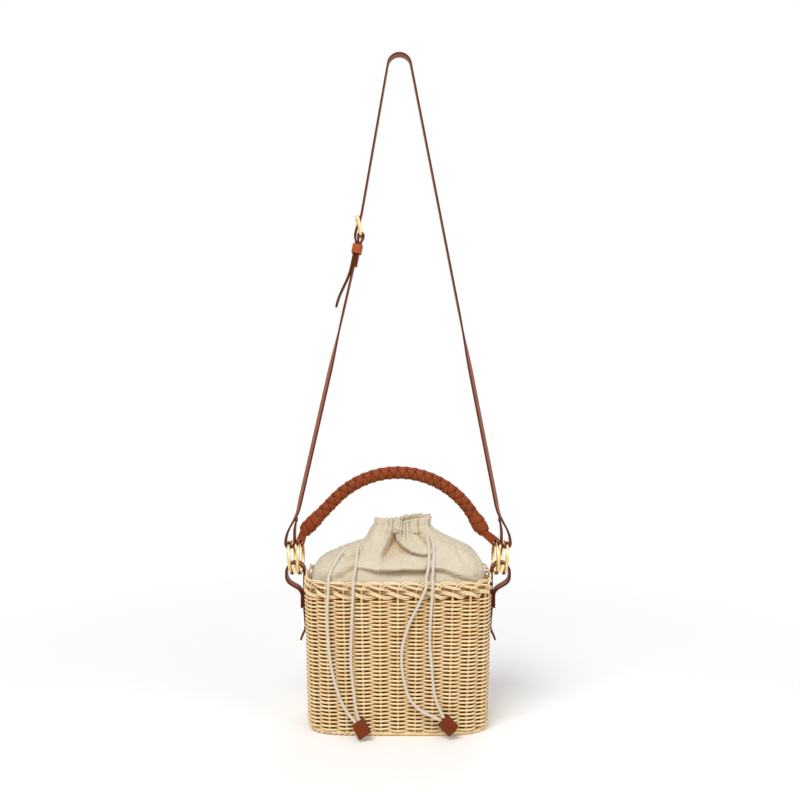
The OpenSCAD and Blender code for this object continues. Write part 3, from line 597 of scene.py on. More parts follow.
# base: rings of rods over and under the spokes, out from the middle
def baseRods():
    u = np.arange(basket["stakes"] * 6) / 6
    k = np.arange(base["rings"])[:, None]
    share = base["first"] + (base["last"] - base["first"]) * k / (base["rings"] - 1)
    edge = planPoint(stakeAngle(u), 0.0, base["off"])[None]
    path = edge * share[..., None]
    path[..., 2] = base["middle"] + base["swing"] * np.cos(np.pi * (u[None] + k)) * np.minimum(1, share * 4)
    side = unit(edge * np.array([1.0, 1.0, 0.0]))
    tone = chance.uniform(0.2, 0.9, (base["rings"], 1, 1))
    wide = base["halfWide"] * (0.75 + 0.25 * share)
    grid = sweep(path, np.broadcast_to(side, path.shape), wide, base["halfTall"], 6, True)
    rods("base_rods", grid, willow, "basket_base", tone=tone)
    s = np.linspace(0.03, 1.02, 8)[None, :, None]
    spokes = planPoint(stakeAngle(np.arange(basket["stakes"])), 0.0, base["spokeOff"])[:, None] * s
    spokes[..., 2] = base["middle"]
    rods("base_spokes", sweep(spokes, (0, 0, 1), *base["spokeThick"], 6), willow, loop=False, tone=0.7)


waleRods()
borderRods()
footRods()
baseRods()
print("rim, foot and base woven")

lining = {"top": 0.1470, "floor": 0.0068, "off": -0.0060, "cols": 144, "rows": 40, "side": 0.72, "across": 0.28,
          "slack": 0.0006, "thick": 0.0008}


# lining: the plan moved in, down the side and across the floor, with slight slack; its outer face is painted shade,
# dark brown behind the weave, and its inner face cream cotton
def liningSheet():
    t = 2 * np.pi * np.arange(lining["cols"]) / lining["cols"]
    v = np.linspace(0, 1, lining["rows"])[:, None]
    down = np.clip(v / lining["side"], 0, 1)
    across = np.clip((v - lining["side"]) / lining["across"], 0, 1)
    z = lining["top"] + (lining["floor"] - lining["top"]) * down
    slack = lining["slack"] * np.sin(9 * t + 4 * v) * np.sin(np.pi * down)
    grid = planPoint(t[None], z, lining["off"] + slack)
    grid[..., :2] *= (1 - 0.97 * across)[..., None]
    grid[..., 2] += 0.0004 * np.sin(5 * t + 12 * across) * across
    sheet = lattice("cotton_lining", grid, caps=False, flip=True)
    place(sheet, "basket", "cotton", liningPaintedShade, "lining")
    sheet.data.materials.append(cotton)
    thick = sheet.modifiers.new("cloth", "SOLIDIFY")
    thick.thickness, thick.offset, thick.material_offset = lining["thick"], -1, 1


liningSheet()

collar = {"base": 0.146, "high": 0.070, "cols": 256, "rows": 80, "off": -0.0074, "shift": 0.004, "hem": 0.80,
          "inner": 10, "neck": (27, 15), "back": 0.8, "thick": 0.0011,
          "levels": (0, 0.17, 0.30, 0.37, 0.43, 0.50, 0.57, 0.64, 0.72, 0.80, 0.90, 1.0),
          "left": (1, 0.995, 0.975, 0.905, 0.81, 0.69, 0.545, 0.425, 0.37, 0.335, 0.29, 0.30),
          "right": (1, 1, 0.985, 0.957, 0.921, 0.862, 0.762, 0.635, 0.49, 0.37, 0.305, 0.31),
          "front": (1, 0.985, 0.937, 0.88, 0.81, 0.70, 0.573, 0.453, 0.358, 0.30, 0.26, 0.26),
          "frillTurn": (-180, -150, -120, -105, -90, -70, -50, -25, 0, 25, 50, 80, 110, 150, 180),
          "frill": (-2, 0.6, 0.8, -0.5, -2.5, -2, 0, 1.5, 1.5, 1, 0.5, -0.5, -3, -4, -2)}
# folds across the front, as lines of (x, z) in mm
# lips stand out on the right of the line and drop away on the left: line, out, how soon that fades, drop, how soon
lips = (
    (((80, 157), (62, 164), (50, 169.5), (40, 171.5), (26, 170.5), (8, 170), (-8, 169.5), (-22, 169), (-36, 171),
      (-50, 172.5)), 4.5, 5.5, -8.5, 9.0),
    (((-5, 207), (-8, 199), (-13, 190), (-18, 182), (-17, 174)), 3.5, 5.0, -13.0, 11.0),
    (((38, 184), (26, 183.5), (14, 185.5), (5, 190), (-1, 195.5), (-5, 205)), 4.5, 6.0, -10.0, 6.5))
# creases stand out or in on both sides alike: line, out, how soon that fades, how sharply
creases = (
    (((-17, 176), (-4, 179), (12, 181), (28, 181)), 4.0, 3.4, 2),
    (((-17, 202), (-24, 190), (-25, 178)), 3.0, 6.0, 2),
    (((-40, 190), (-55, 183), (-67, 173), (-80, 159)), 4.0, 3.8, 2),
    (((-36, 187), (-51, 180), (-61, 172)), -9.5, 3.6, 1.4),
    (((-42, 179), (-57, 172.5), (-72, 160)), 3.6, 3.0, 2),
    (((-42, 173), (-53, 168), (-65, 158)), -9.0, 3.4, 1.4),
    (((30, 202), (46, 188), (62, 175), (80, 160)), 3.6, 5.0, 2),
    (((46, 199), (62, 189), (72, 174)), -6.0, 4.6, 1.6),
    (((70, 190), (82, 178), (86, 164)), -3.5, 3.0, 1.6),
    (((14, 205), (23, 200), (32, 193), (42, 186)), -7.0, 2.8, 1.4))


# distance in mm of each point from a line, which side it is on, and a share that fades out at both ends
def nearLine(x, z, line):
    line = np.array(line)
    size = np.linalg.norm(np.diff(line, axis=0), axis=1)
    gone = np.concatenate([[0], size.cumsum()]) / size.sum()
    near, side, where = np.full(x.shape, 999.0), np.zeros(x.shape), np.zeros(x.shape)
    for k, (a, d) in enumerate(zip(line, np.diff(line, axis=0))):
        along = np.clip(((x - a[0]) * d[0] + (z - a[1]) * d[1]) / size[k] ** 2, 0, 1)
        away = np.hypot(x - a[0] - along * d[0], z - a[1] - along * d[1])
        side = np.where(away < near, np.sign(d[0] * (z - a[1]) - d[1] * (x - a[0])), side)
        where = np.where(away < near, gone[k] + along * size[k] / size.sum(), where)
        near = np.minimum(near, away)
    return near, side, np.sin(np.pi * np.clip(where, 0, 1)).clip(0, 1) ** 0.6


def lipOut(x, z, line, out, wide, under, deep):  # how far a lip moves the cloth, in mm
    near, side, fade = nearLine(x, z, line)
    away = near * side
    drop = smooth(-0.6, 1.8, away)
    lip = out * np.exp(-(np.minimum(away, 0) / wide) ** 2) * (1 - drop)
    return fade * (lip + under * drop * np.exp(-(np.maximum(away, 0) / deep) ** 2))


def creaseOut(x, z, line, out, wide, power):  # how far a crease moves the cloth, in mm
    near, _, fade = nearLine(x, z, line)
    return fade * out * np.exp(-(near / wide) ** power)


crumpling = {"frames": 16, "spare": 0.06, "gravity": 0.02, "hold": 0.42, "quality": 6, "mass": 0.15, "bending": 0.2}


# a short cloth simulation: spare cloth buckles into small creases while the rim, the neck and, softly,
# the big folds are held
def crumple(sheet, held):
    scene = bpy.context.scene
    group = sheet.vertex_groups.new(name="held")
    for weight in np.unique(held):
        group.add(np.flatnonzero(held == weight).tolist(), float(weight), "REPLACE")
    cloth = sheet.modifiers.new("crumple", "CLOTH")
    cloth.settings.quality = crumpling["quality"]
    cloth.settings.mass = crumpling["mass"]
    cloth.settings.bending_stiffness = crumpling["bending"]
    cloth.settings.shrink_min = -crumpling["spare"]
    cloth.settings.vertex_group_mass = "held"
    cloth.settings.effector_weights.gravity = crumpling["gravity"]
    cloth.collision_settings.use_collision = False
    cloth.point_cache.frame_start, cloth.point_cache.frame_end = 1, crumpling["frames"]
    for step in range(1, crumpling["frames"] + 1):
        scene.frame_set(step)
    done = sheet.evaluated_get(bpy.context.evaluated_depsgraph_get())
    points = np.empty(len(sheet.data.vertices) * 3, np.float32)
    done.data.vertices.foreach_get("co", points)
    sheet.modifiers.remove(cloth)
    sheet.vertex_groups.clear()
    scene.frame_set(1)
    sheet.data.vertices.foreach_set("co", points)
    sheet.data.update()


# collar: the plan drawn in to a neck, a different outline left, front and right;
# pleats evenly round the neck sharpen towards the drawcord, the frill opens above it,
# and folds cross the front and back
def collarSheet():
    m, n, inner = collar["cols"], collar["rows"], collar["inner"]
    t = (2 * np.pi * np.arange(m) / m)[None]
    h = np.concatenate([np.linspace(0, 1, n), np.linspace(0.985, collar["hem"], inner)])[:, None]
    inside = (np.arange(n + inner) >= n)[:, None]
    fine = np.linspace(0, 1, 401)
    ease = np.exp(-np.linspace(-2, 2, 25) ** 2)
    drawn = {}
    for key in ("right", "left", "front"):
        table = np.interp(fine, collar["levels"], collar[key])
        table = np.convolve(np.pad(table, 12, mode="reflect", reflect_type="odd"), ease / ease.sum(), "valid")
        drawn[key] = np.interp(h, fine, table)
    share = (np.clip(np.cos(t), 0, 1) ** 2 * drawn["right"] + np.clip(-np.cos(t), 0, 1) ** 2 * drawn["left"]
             + np.sin(t) ** 2 * drawn["front"])
    neckX, neckY = collar["neck"]
    neck = np.linalg.norm(np.stack([neckX * np.sin(t), neckY * np.cos(t)], -1), axis=-1)
    lap = 2 * np.pi * (neck.cumsum(1) - neck / 2) / neck.sum()
    warp = lap + 0.10 * np.sin(2 * lap + 1.0) + 0.07 * np.sin(5 * lap + 0.6) + 0.04 * np.sin(9 * lap + 2.2)
    pleat = 0.55 * np.cos(19 * warp + 0.3) + 0.45 * np.cos(31 * warp + 1.1 + 0.7 * h) + 0.25 * np.cos(8 * warp + 2.0)
    pleat = np.tanh(1.6 * pleat)
    depth = 0.016 * smooth(0.30, 0.6, h) + 0.12 * smooth(0.60, 0.84, h) + 0.02 * smooth(0.86, 1, h)
    broad = 0.014 * np.cos(7 * warp + 0.5) * smooth(0.05, 0.4, h) * (1 - 0.4 * smooth(0.6, 0.9, h))
    share = share * (1 + depth * pleat + broad)
    edge = planPoint(t, np.array(collar["base"]), collar["off"])
    r = np.linalg.norm(edge[..., :2], axis=-1) * share - 0.0016 * inside
    turn = np.degrees((t + np.pi) % (2 * np.pi) - np.pi)
    frill = np.interp(turn, collar["frillTurn"], collar["frill"]) / 1000
    x = collar["shift"] * h * h + r * np.cos(t)
    y = r * np.sin(t)
    z = collar["base"] + collar["high"] * h + frill * smooth(0.86, 1, h) + 0.0009 * pleat * smooth(0.86, 1, h)
    out = 0
    for side in (-1, 1):  # the back has the same kind of folds the other way round
        shown = (smooth(0.12, 0.55, side * np.sin(t)) * (1 - smooth(0.88, 0.96, h)) * smooth(0.02, 0.12, h)
                 * (1 - inside))
        size = 1 if side < 0 else collar["back"]
        for shape, table in ((lipOut, lips), (creaseOut, creases)):
            for fold in table:
                out = out + shown * shape(-side * x * 1000, z * 1000, *fold) / 1000 * size
    x, y, z = x + out * 0.35 * np.cos(t), y + out * 0.9 * np.sin(t), z + out * 0.25 * (out < 0)
    for points in cords.values():  # the cloth gives way under the cords
        line = throughPoints(np.array(points[1:7]), 8)
        gap = np.hypot(x[..., None] * 1000 - line[:, 0], z[..., None] * 1000 - line[:, 2])
        near = gap.min(-1)
        limit = line[gap.argmin(-1), 1] + 1.8 - 0.16 * near ** 2
        y = np.where((near < 7) & (y < 0), np.maximum(y, limit / 1000), y)
    # painted shade, tanner cloth, where the folds set the cloth back, in the pleat valleys near the neck and on the
    # inner hem
    hollowShade = (smooth(1.5, 9.0, -out * 1000) + 0.5 * smooth(0.1, 1, -pleat) * smooth(0.55, 0.85, h) * (1 - inside)
              + 0.6 * inside)
    grid = np.stack(np.broadcast_arrays(x, y, z), -1)
    sheet = lattice("gathered_collar", grid, caps=False, fine=np.minimum(hollowShade, 1), flip=False)
    tight = np.maximum(1 - smooth(0.04, 0.22, h), smooth(0.62, 0.86, h))
    held = np.broadcast_to(np.round(crumpling["hold"] + (1 - crumpling["hold"]) * tight, 3), (n + inner, m))
    crumple(sheet, held.ravel())
    print("collar crumpled")
    thick = sheet.modifiers.new("cloth", "SOLIDIFY")
    thick.thickness, thick.offset = collar["thick"], 0.0
    place(sheet, "basket", "cotton", cotton, "pouch_collar")


collarSheet()
print("pouch made")

# rings, tabs, handle and strap share these sizes with the solids
ring = {"radius": 0.0168, "wire": 0.002, "z": 0.173, "yaw": 4, "lean": 6, "handleX": 0.1050748,
        "strapX": 0.1142165, "steps": 96, "sides": 20}


def ringPiece(name, side, x, lean, body):
    yaw, tip = math.radians(side * ring["yaw"]), math.radians(side * lean)
    f = 2 * np.pi * np.arange(ring["steps"]) / ring["steps"]
    circle = np.stack([0 * f, ring["radius"] * np.cos(f), ring["radius"] * np.sin(f)], -1)
    tilt, turn = turnBy("y", tip), turnBy("z", yaw)
    path = circle @ tilt.T @ turn.T + np.array([side * x, 0, ring["z"]])
    axis = turn @ tilt @ np.array([1.0, 0, 0])
    grid = sweep(path, axis, ring["wire"], ring["wire"], ring["sides"], True)
    place(lattice(name, grid, True), body, "brass", brass, name)


for side, word, letter in ((-1, "left", "l"), (1, "right", "r")):
    ringPiece("handle_ring_" + word, side, ring["handleX"], 0, "handle_ring_" + letter)
    ringPiece("strap_ring_" + word, side, ring["strapX"], ring["lean"], "strap_ring_" + letter)

handle = {"arc": 0.094, "leftA": math.radians(46), "rightA": math.radians(57), "leftIn": 0.0035, "rightIn": 0.012,
          "endRise": 0.0104, "leftWrap": 0.024, "rightWrap": 0.018}


def legLong(inward, angle):  # straight run from the end of the arc to the end of the grip
    return (ring["handleX"] - inward - handle["arc"] * math.sin(angle)) / math.cos(angle)


leftLeg, rightLeg = [legLong(handle[side + "In"], handle[side + "A"]) for side in ("left", "right")]
handleTop = (ring["z"] + ring["radius"] + handle["endRise"] + handle["arc"] * (1 - math.cos(handle["leftA"]))
             + leftLeg * math.sin(handle["leftA"]))
leftRun = leftLeg + handle["arc"] * handle["leftA"]
handleRun = leftRun + handle["arc"] * handle["rightA"] + rightLeg


# a point beside the grip: run along it, angle round it, distance from its middle
def besideGrip(run, angle, r):
    a = np.clip((run - leftRun) / handle["arc"], -handle["leftA"], handle["rightA"])
    over = np.where(run < leftLeg, run - leftLeg, np.maximum(0, run - handleRun + rightLeg))
    x = handle["arc"] * np.sin(a) + over * np.cos(a) + r * np.cos(angle) * np.sin(a)
    z = handleTop - handle["arc"] * (1 - np.cos(a)) - over * np.sin(a) + r * np.cos(angle) * np.cos(a)
    return np.stack(np.broadcast_arrays(x, -r * np.sin(angle), z), -1)


braid = {"pitch": 0.0184, "radius": 0.0052, "weave": 0.0010, "halfWide": 0.00405, "halfThick": 0.00115,
         "phase": 0.95, "tuck": 0.006, "core": 0.0042}


# round braid of four domed thongs: two wind each way, over one and under the next, changing over quickly between
def braidThongs():
    p, r0 = braid["pitch"], braid["radius"]
    slope = math.atan(2 * math.pi * r0 / p)
    first, last = handle["leftWrap"] - braid["tuck"], handleRun - handle["rightWrap"] + braid["tuck"]
    run = np.linspace(first, last, 420)[:, None]
    f = 2 * np.pi * (np.arange(16) + 0.5) / 16
    wide = braid["halfWide"] * np.sign(np.cos(f)) * np.abs(np.cos(f)) ** 0.7
    high = braid["halfThick"] * np.sin(f) * (1 - 0.75 * (wide / braid["halfWide"]) ** 2)
    grids = []
    for way, k in ((1, 0), (1, 1), (-1, 0), (-1, 1)):
        along = run - way * math.sin(slope) * wide[None]
        angle = way * 2 * np.pi * run / p + np.pi * k + braid["phase"] + math.cos(slope) * wide[None] / r0
        cross = angle - braid["phase"] + way * 2 * np.pi * along / p - np.pi * k
        r = r0 + way * braid["weave"] * np.tanh(2.0 * np.cos(cross)) + high[None]
        grids.append(besideGrip(along, angle, r))
    # partly the thongs' dark cut edges, partly painted shade: the edge colour spreads over the outer part of each
    # thong's width to darken the gaps between them
    edges = smooth(0.60, 0.92, np.abs(wide) / braid["halfWide"])[None, None]
    place(lattice("braided_grip", np.stack(grids), fine=edges), "handle", "leather", leather, "handle_braid")
    # painted shade: the core shows only through the gaps between thongs and is coloured as dark as the edges all over
    angle = 2 * np.pi * np.arange(20)[None] / 20
    core = besideGrip(run + 0 * angle, angle, braid["core"])
    place(lattice("grip_core", core, fine=1.0), "handle", "leather", leather)


whip = {"groove": 0.0009, "grooveWide": 0.065, "step": 0.0009,
        "left": (0.0066, 0.0076, 0.0078, 0.0078, 0.0076, 0.0070),
        "right": (0.0066, 0.0075, 0.0081, 0.0084, 0.0081, 0.0072, 0.0060)}


# whippings: a strip of leather wound round the end, with a groove where each turn meets the next
def whipping(side, start, end, turns):
    v = np.linspace(0, 1, 90)[:, None]
    angle = 2 * np.pi * np.arange(56)[None] / 56
    turnShare = (turns * v + angle / (2 * np.pi)) % 1
    groove = np.exp(-(np.minimum(turnShare, 1 - turnShare) / whip["grooveWide"]) ** 2)
    step = whip["step"] * (turnShare - 0.5)
    r = np.interp(v, np.linspace(0, 1, len(whip[side])), whip[side]) - whip["groove"] * groove + step
    grid = besideGrip(start + (end - start) * v + 0 * angle, angle, r)
    place(lattice(side + "_whipping", grid, fine=groove * 0.9), "handle", "leather", leather, "handle_wrap_" + side)


braidThongs()
whipping("left", 0.0, handle["leftWrap"] + 0.001, 3)
whipping("right", handleRun - handle["rightWrap"] - 0.005, handleRun, 2)
for word in ("left", "right"):
    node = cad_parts["handle_loop_" + word]
    node.data.materials.clear()
    node.data.materials.append(leather)
print("handle braided")


# straps: flat curves in the XZ plane
def bezier(p, q, r, s, n):
    t = np.linspace(0, 1, n + 1)[:, None]
    p, q, r, s = [np.asarray(v, float) for v in (p, q, r, s)]
    return (1 - t) ** 3 * p + 3 * (1 - t) ** 2 * t * q + 3 * (1 - t) * t * t * r + t ** 3 * s


def arc(c, r, a, b, n):
    t = np.radians(np.linspace(a, b, n + 1))
    return np.asarray(c) + r * np.stack([np.cos(t), np.sin(t)], -1)


def joined(*parts):
    run = np.concatenate(parts)
    keep = np.concatenate([[True], np.linalg.norm(np.diff(run, axis=0), axis=1) > 1e-6])
    return run[keep]


def evenly(path, step):  # the same curve with points an even step apart
    run = np.concatenate([[0], np.linalg.norm(np.diff(path, axis=0), axis=1).cumsum()])
    at = np.linspace(0, run[-1], max(4, int(run[-1] / step)))
    return np.stack([np.interp(at, run, path[:, k]) for k in range(path.shape[1])], -1)


def evenLoop(path, step):
    return evenly(np.concatenate([path, path[:1]]), step)[:-1]


def besideCurve(path, i, w):
    d = unit(path[min(i + 1, len(path) - 1)] - path[max(i - 1, 0)])
    return path[i] + w * np.array([-d[1], d[0]]), d


strap = {"wide": 0.015, "thick": 0.0022, "top": 0.715, "crownR": 0.0125, "crownX": 0.0015, "legIn": 0.0093,
         "legRise": 0.037, "endTurn": 0.015, "foldGap": 0.00025, "buckleDrop": 0.196, "inset": 0.008, "wire": 0.00175,
         "buckleLong": 0.020, "twist": 17}
ringTop = np.array([ring["strapX"] + ring["radius"] * math.sin(math.radians(ring["lean"])),
                    ring["z"] + ring["radius"] * math.cos(math.radians(ring["lean"]))])
sagging = ring["radius"] - math.sqrt(ring["radius"] ** 2 - strap["wide"] ** 2 / 4)
loopR = (ring["wire"] + sagging / 2 + 0.0003 + strap["wide"] / 2 * math.sin(math.radians(ring["yaw"]))
         + strap["thick"] / 2)
loopAt = ringTop - np.array([0, sagging / 2])
legFoot = ringTop + np.array([-strap["legIn"], strap["legRise"]])
crown = np.array([strap["crownX"], strap["top"] - strap["thick"] / 2 - strap["crownR"]])


def crownLeave(p):  # angle on the crown, in degrees, where a straight run to p leaves it
    d = p - crown
    return math.degrees(math.atan2(d[1], d[0]) + math.acos(strap["crownR"] / np.linalg.norm(d)))


rightLeave = crownLeave(legFoot)
legDir = np.array([math.sin(math.radians(rightLeave)), -math.cos(math.radians(rightLeave))])
turnIn = strap["endTurn"]
endLeg = bezier(legFoot, legFoot + turnIn * legDir, loopAt + [loopR, turnIn], loopAt + [loopR, 0], 14)
foldEnd, foldDir = besideCurve(endLeg, 4, -strap["thick"] - strap["foldGap"])
foldUp = bezier(loopAt - [loopR, 0], loopAt + [-loopR, turnIn / 2], foldEnd + turnIn / 2 * foldDir, foldEnd, 12)
strapEnd = joined(endLeg, arc(loopAt, loopR, 0, -180, 28), foldUp)
heelZ = strap["top"] - strap["buckleDrop"]
legSlope = (legFoot[0] + strap["crownX"] - strap["crownR"]) / (crown[1] - legFoot[1])
heel = np.array([strap["crownX"] - strap["crownR"] - legSlope * (crown[1] - heelZ) + strap["inset"], heelZ])
tilt = math.atan(legSlope)


def atHeel(path):  # from the buckle's own axes, the strap running up, to the XZ plane
    path = np.asarray(path, float)
    return heel + np.stack([path[..., 0] * math.cos(tilt) + path[..., 1] * math.sin(tilt),
                            path[..., 1] * math.cos(tilt) - path[..., 0] * math.sin(tilt)], -1)


layerX = (strap["thick"] + strap["foldGap"]) / 2
tailX = layerX + strap["thick"] + strap["foldGap"]
bendR = strap["wire"] + 0.00015 + strap["thick"] / 2
bowX, passX = bendR + strap["thick"] + 0.0012, 0.004
frontX = passX + strap["thick"] / 2 + strap["wire"] + strap["foldGap"]
frontZ = math.sqrt(strap["buckleLong"] ** 2 - frontX ** 2)
closeZ, endZ, underEnd = -0.010, -0.034, -0.036  # where the layers close, where they end, and the layer under
heelWrap = joined([[layerX, endZ], [layerX, closeZ]],
                  bezier([layerX, closeZ], [layerX, closeZ / 2], [bendR, closeZ / 2], [bendR, 0], 8),
                  arc([0, 0], bendR, 0, 180, 18),
                  bezier([-bendR, 0], [-bendR, closeZ / 2], [-layerX, closeZ / 2], [-layerX, closeZ], 8),
                  [[-layerX, underEnd]])
tailEnd = np.array([-0.011, -0.081])
billet = joined(bezier([-passX, 0.024], [-passX, 0.012], [-bowX, 0.012], [-bowX, 0], 14),
                bezier([-bowX, 0], [-bowX, closeZ / 2], [-tailX, closeZ / 2], [-tailX, closeZ], 10), [[-tailX, endZ]],
                bezier([-tailX, endZ], [-tailX, endZ - 0.018], tailEnd + [0, 0.018], tailEnd, 12))
upper = atHeel([-passX, 0.048])
away = np.array([crown[0] - upper[0], upper[1] - crown[1]])
leftLeave = math.degrees(math.atan2(away[1], away[0]) + math.acos(strap["crownR"] / np.linalg.norm(away)))
longPath = joined(strapEnd[::-1], arc(crown, strap["crownR"], rightLeave, 180 - leftLeave, 40), atHeel(billet))
shortPath = joined(atHeel(heelWrap), strapEnd * [-1, 1])


def paintedEdges(sides, power):  # 1 on the narrow sides of a swept section, 0 on its faces
    f = 2 * np.pi * (np.arange(sides) + 0.5) / sides
    return smooth(0.93, 0.99, np.abs(np.cos(f)) ** (2 / power))[None, None]


strip = {"sides": 20, "power": 7.0, "twistFrom": (0.200, 0.235), "twistTo": (0.37, 0.44)}


# a flat strip of leather: a rounded rectangle carried along, its painted edges marked for the material
def leatherStrip(name, path, wide, thick, body, node, step=0.0025, taper=None, twist=0):
    path = evenly(np.asarray(path), step)
    run = np.stack([path[:, 0], 0 * path[:, 0], path[:, 1]], -1)
    turned = smooth(*strip["twistFrom"], run[:, 2])
    lean = np.radians(twist) * turned * (1 - smooth(*strip["twistTo"], run[:, 2])) * np.sign(run[:, 0])
    across = np.stack([np.sin(lean), np.cos(lean), 0 * lean], -1)
    width = np.full(len(run), wide / 2)
    if taper is not None:
        width = width * taper(np.linspace(0, 1, len(run)))
    grid = sweep(run, across, width, thick / 2, strip["sides"], False, strip["power"])
    edges = paintedEdges(strip["sides"], strip["power"])
    place(lattice(name, grid, fine=edges), body, "leather", leather, node)


tipRound = lambda v: np.sqrt(np.clip(1 - np.clip((v - 0.993) / 0.007, 0, 1) ** 2, 0.05, 1))
leatherStrip("long_strap", longPath, strap["wide"], strap["thick"], "strap", "strap_long",
             taper=tipRound, twist=strap["twist"])
leatherStrip("short_strap", shortPath, strap["wide"], strap["thick"], "strap", "strap_short",
             twist=strap["twist"])

tab = {"wide": 0.015, "thick": 0.0023, "x": 0.10045, "outerX": 0.1197873, "tailZ": 0.086, "curl": 0.005,
       "tailRun": 0.016, "lap": 0.012, "turn": 0.013, "drop": 0.026, "sewnHalf": 0.0048, "sewnRows": (0.004, 0.009)}
tabR = (tab["outerX"] - tab["x"]) / 2
tabLoopZ = ring["z"] - ring["radius"] + ring["wire"]
tabJoin = tabLoopZ - tab["drop"]
tabWall = (basket["halfWide"] - basket["taper"] * (1 - tab["tailZ"] / basket["waleTop"]) + 0.0015 + tab["thick"] / 2)
tabLap = tab["x"] + tab["thick"] + 0.00025
tipZ, midZ, wallZ = tab["tailZ"], tab["tailZ"] + tab["tailRun"] / 2, tab["tailZ"] + tab["tailRun"]
outX, downZ = tab["outerX"], tabLoopZ - 2 * ring["wire"]
tabPath = joined(bezier([tabWall + tab["curl"], tipZ], [tabWall + tab["curl"] / 2, midZ], [tabWall, midZ],
                        [tabWall, wallZ], 10),
                 [[tab["x"], tabJoin - tab["lap"]]], arc([tab["x"] + tabR, tabLoopZ], tabR, 180, 0, 30),
                 bezier([outX, downZ], [outX, downZ - tab["turn"]], [tabLap, tabJoin + tab["turn"]],
                        [tabLap, tabJoin], 18), [[tabLap, tabJoin - tab["lap"]]])
for side, word in ((-1, "left"), (1, "right")):
    leatherStrip("side_strip_" + word, tabPath * [side, 1], tab["wide"], tab["thick"], "basket", "side_tab_" + word,
                 0.0015)
    y, z = np.meshgrid(np.linspace(-tab["sewnHalf"], tab["sewnHalf"], 4), [tabJoin - d for d in tab["sewnRows"]])
    x = 0 * y + side * (tabLap + tab["thick"] / 2)
    sewn = np.stack([x, y, z], -1).reshape(-1, 3)
    sewing = stitchPiece("tab_stitches_" + word, sewn, np.broadcast_to([0.0, 1.0, 0.0], sewn.shape))
    place(sewing, "basket", "leather", thread)
print("straps laid")


# buckle: a bent wire frame, a prong on its heel bar and a leather keeper
def buckleSpace(points):  # x, y and z in the buckle's own axes
    flat = atHeel(points[..., [0, 2]])
    return np.stack([flat[..., 0], points[..., 1], flat[..., 1]], -1)


def roundedLoop(halfA, halfB, r, n):  # a rectangle with round corners, as points in its own plane
    f = np.radians(np.linspace(0, 90, n))
    c = np.stack([np.cos(f), np.sin(f)], -1) * r
    quarter = [(halfA - r, halfB - r, 0), (r - halfA, halfB - r, 90), (r - halfA, r - halfB, 180),
               (halfA - r, r - halfB, 270)]
    spin = lambda p, a: p @ np.array([[math.cos(a), math.sin(a)], [-math.sin(a), math.cos(a)]])
    return np.concatenate([spin(c, math.radians(a)) + [x, y] for x, y, a in quarter])


buckle = {"room": 0.0003, "corner": 0.0028, "step": 0.0012, "sides": 16}
half = strap["wide"] / 2 + buckle["room"] + strap["wire"]
loop = roundedLoop(strap["buckleLong"] / 2, half, buckle["corner"], 7)
lean = math.atan2(frontX, frontZ)
middle = np.array([-frontX / 2, 0, frontZ / 2])
framePath = middle + np.stack([-math.sin(lean) * loop[:, 0], loop[:, 1], math.cos(lean) * loop[:, 0]], -1)
bar = buckleSpace(evenLoop(framePath, buckle["step"]))
barAcross = (math.cos(tilt + lean), 0, -math.sin(tilt + lean))
barGrid = sweep(bar, barAcross, strap["wire"], strap["wire"], buckle["sides"], True)
place(lattice("buckle_wire", barGrid, True), "strap", "brass", brass, "buckle_frame")

prong = {"wire": 0.0009, "gap": 0.00015, "eye": (0.0012, 0.0008), "start": 0.0015, "long": 0.0215, "dip": 0.0006,
         "radius": 0.0011, "sides": 12}
eyeR = strap["wire"] + prong["wire"]
prongA = math.atan(frontX / frontZ) + math.asin((eyeR + prong["gap"]) / strap["buckleLong"])
f = 2 * np.pi * np.arange(28) / 28
eye = np.stack([eyeR * np.cos(f), 0 * f, eyeR * np.sin(f)], -1)
eyeGrid = sweep(buckleSpace(eye), (0, 1, 0), *prong["eye"], prong["sides"], True, 3.0)
place(lattice("prong_eye", eyeGrid, True), "prong", "brass", brass, "buckle_prong")
v = np.linspace(0, 1, 16)
reach = prong["start"] + prong["long"] * v
shaft = np.stack([-math.sin(prongA) * reach - prong["dip"] * v * v, 0 * v, math.cos(prongA) * reach], -1)
slim = prong["radius"] * (1 - 0.35 * v ** 2) * np.where(v > 0.97, 0.5, 1)
shaftGrid = sweep(buckleSpace(shaft), (0, 1, 0), slim, slim * 0.8, prong["sides"])
place(lattice("prong_shaft", shaftGrid), "prong", "brass", brass)

keeper = {"room": 0.0006, "thick": 0.0015, "corner": 0.0016, "halfTall": 0.005, "drop": 0.005, "step": 0.0008,
          "sides": 16, "power": 6.0}
inX = -tailX - strap["thick"] / 2 - keeper["room"] / 2
inW, inD = tailX + layerX + strap["thick"] + keeper["room"], strap["wide"] + keeper["room"]
loop = roundedLoop(inW / 2 + keeper["thick"] / 2, inD / 2 + keeper["thick"] / 2, keeper["corner"], 7)
band = np.stack([inX + inW / 2 + loop[:, 0], loop[:, 1], np.full(len(loop), closeZ - keeper["drop"])], -1)
band = buckleSpace(evenLoop(band, keeper["step"]))
up = np.array([math.sin(tilt), 0, math.cos(tilt)])
keeperGrid = sweep(band, up, keeper["halfTall"], keeper["thick"] / 2, keeper["sides"], True, keeper["power"])
keeperPiece = lattice("leather_keeper", keeperGrid, True, fine=paintedEdges(keeper["sides"], keeper["power"]))
place(keeperPiece, "keeper", "keeper_leather", brightLeather, "strap_keeper")
print("buckle made")

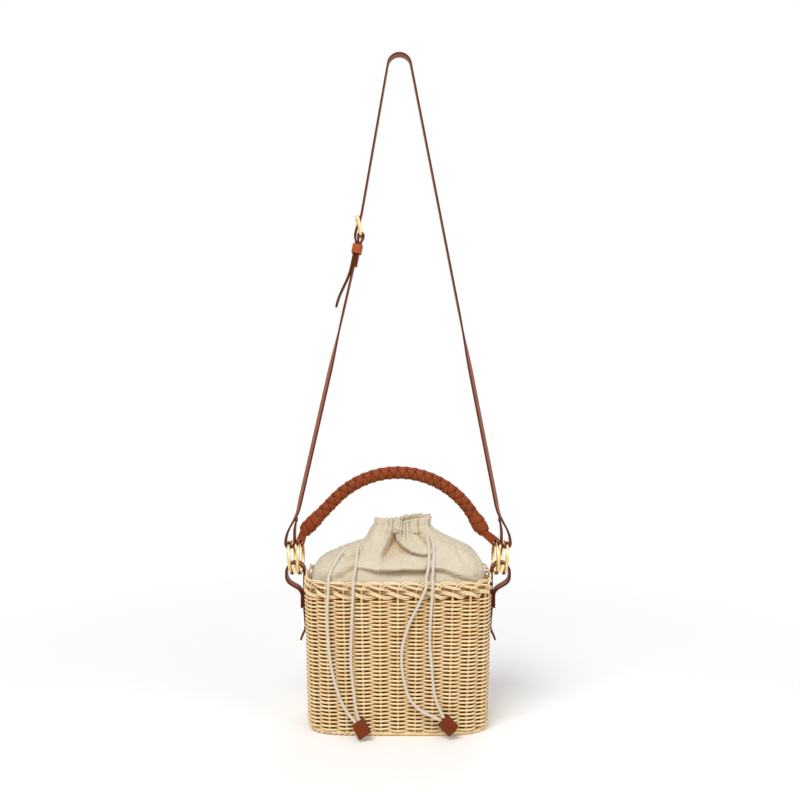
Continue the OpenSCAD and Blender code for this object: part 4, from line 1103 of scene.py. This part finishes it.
# stage: pale floor that fades to white, plain soft light
stage = {"half": 3.0, "floor": (0.93, 0.93, 0.93, 1), "sky": 0.45, "fade": (0.25, 0.75), "aim": (0, 0, 0.2)}
corner = stage["half"]
floorMesh = bpy.data.meshes.new("paleFloor")
floorCorners = [(-corner, -corner, 0), (corner, -corner, 0), (corner, corner, 0), (-corner, corner, 0)]
floorMesh.from_pydata(floorCorners, [], [(0, 1, 2, 3)])
floorPiece = bpy.data.objects.new("paleFloor", floorMesh)
bpy.context.collection.objects.link(floorPiece)
floorLook, wire, shader = startMaterial("paleFloor", {"Base Color": stage["floor"], "Roughness": 0.9,
                                                      "Specular IOR Level": 0.1})
spot = wire.node("VectorMath", {"operation": "LENGTH"}, {0: wire.node("TexCoord", out="Object")}, "Value")
white = wire.node("Emission", {}, {"Color": (1, 1, 1, 1), "Strength": 1.0})
plainFloor = Wire(wire.tree, shader.outputs[0])
blendFloor = wire.node("MixShader", {}, {0: spot.band(*stage["fade"]), 1: plainFloor, 2: white})
wire.plug(wire.tree.nodes["Material Output"].inputs["Surface"], blendFloor)
floorMesh.materials.append(floorLook)

world = bpy.data.worlds.new("studio")
bpy.context.scene.world = world
world.use_nodes = True
sky = Wire(world.node_tree)
ray = sky.node("LightPath")
seen = ray + ray.output("Is Glossy Ray") + ray.output("Is Transmission Ray")
strength = stage["sky"] + seen.band(0.0, 1.0) * (1 - stage["sky"])
feed(sky, world.node_tree.nodes["Background"], {"Color": (1, 1, 1, 1), "Strength": strength})

lamps = {"key": {"at": (-0.5, -1.1, 1.7), "size": 1.0, "power": 27},
         "fill": {"at": (1.3, -0.9, 0.9), "size": 1.2, "power": 7},
         "back": {"at": (0.3, 1.2, 1.4), "size": 1.0, "power": 6}}
for name, lamp in lamps.items():
    light = bpy.data.lights.new(name, "AREA")
    light.size, light.energy = lamp["size"], lamp["power"]
    thing = bpy.data.objects.new(name, light)
    thing.location = lamp["at"]
    aim = np.array(stage["aim"]) - np.array(lamp["at"])
    thing.rotation_euler = (math.acos(-aim[2] / np.linalg.norm(aim)), 0, math.atan2(aim[1], aim[0]) - math.pi / 2)
    bpy.context.collection.objects.link(thing)
bpy.context.scene.view_settings.view_transform = "Standard"

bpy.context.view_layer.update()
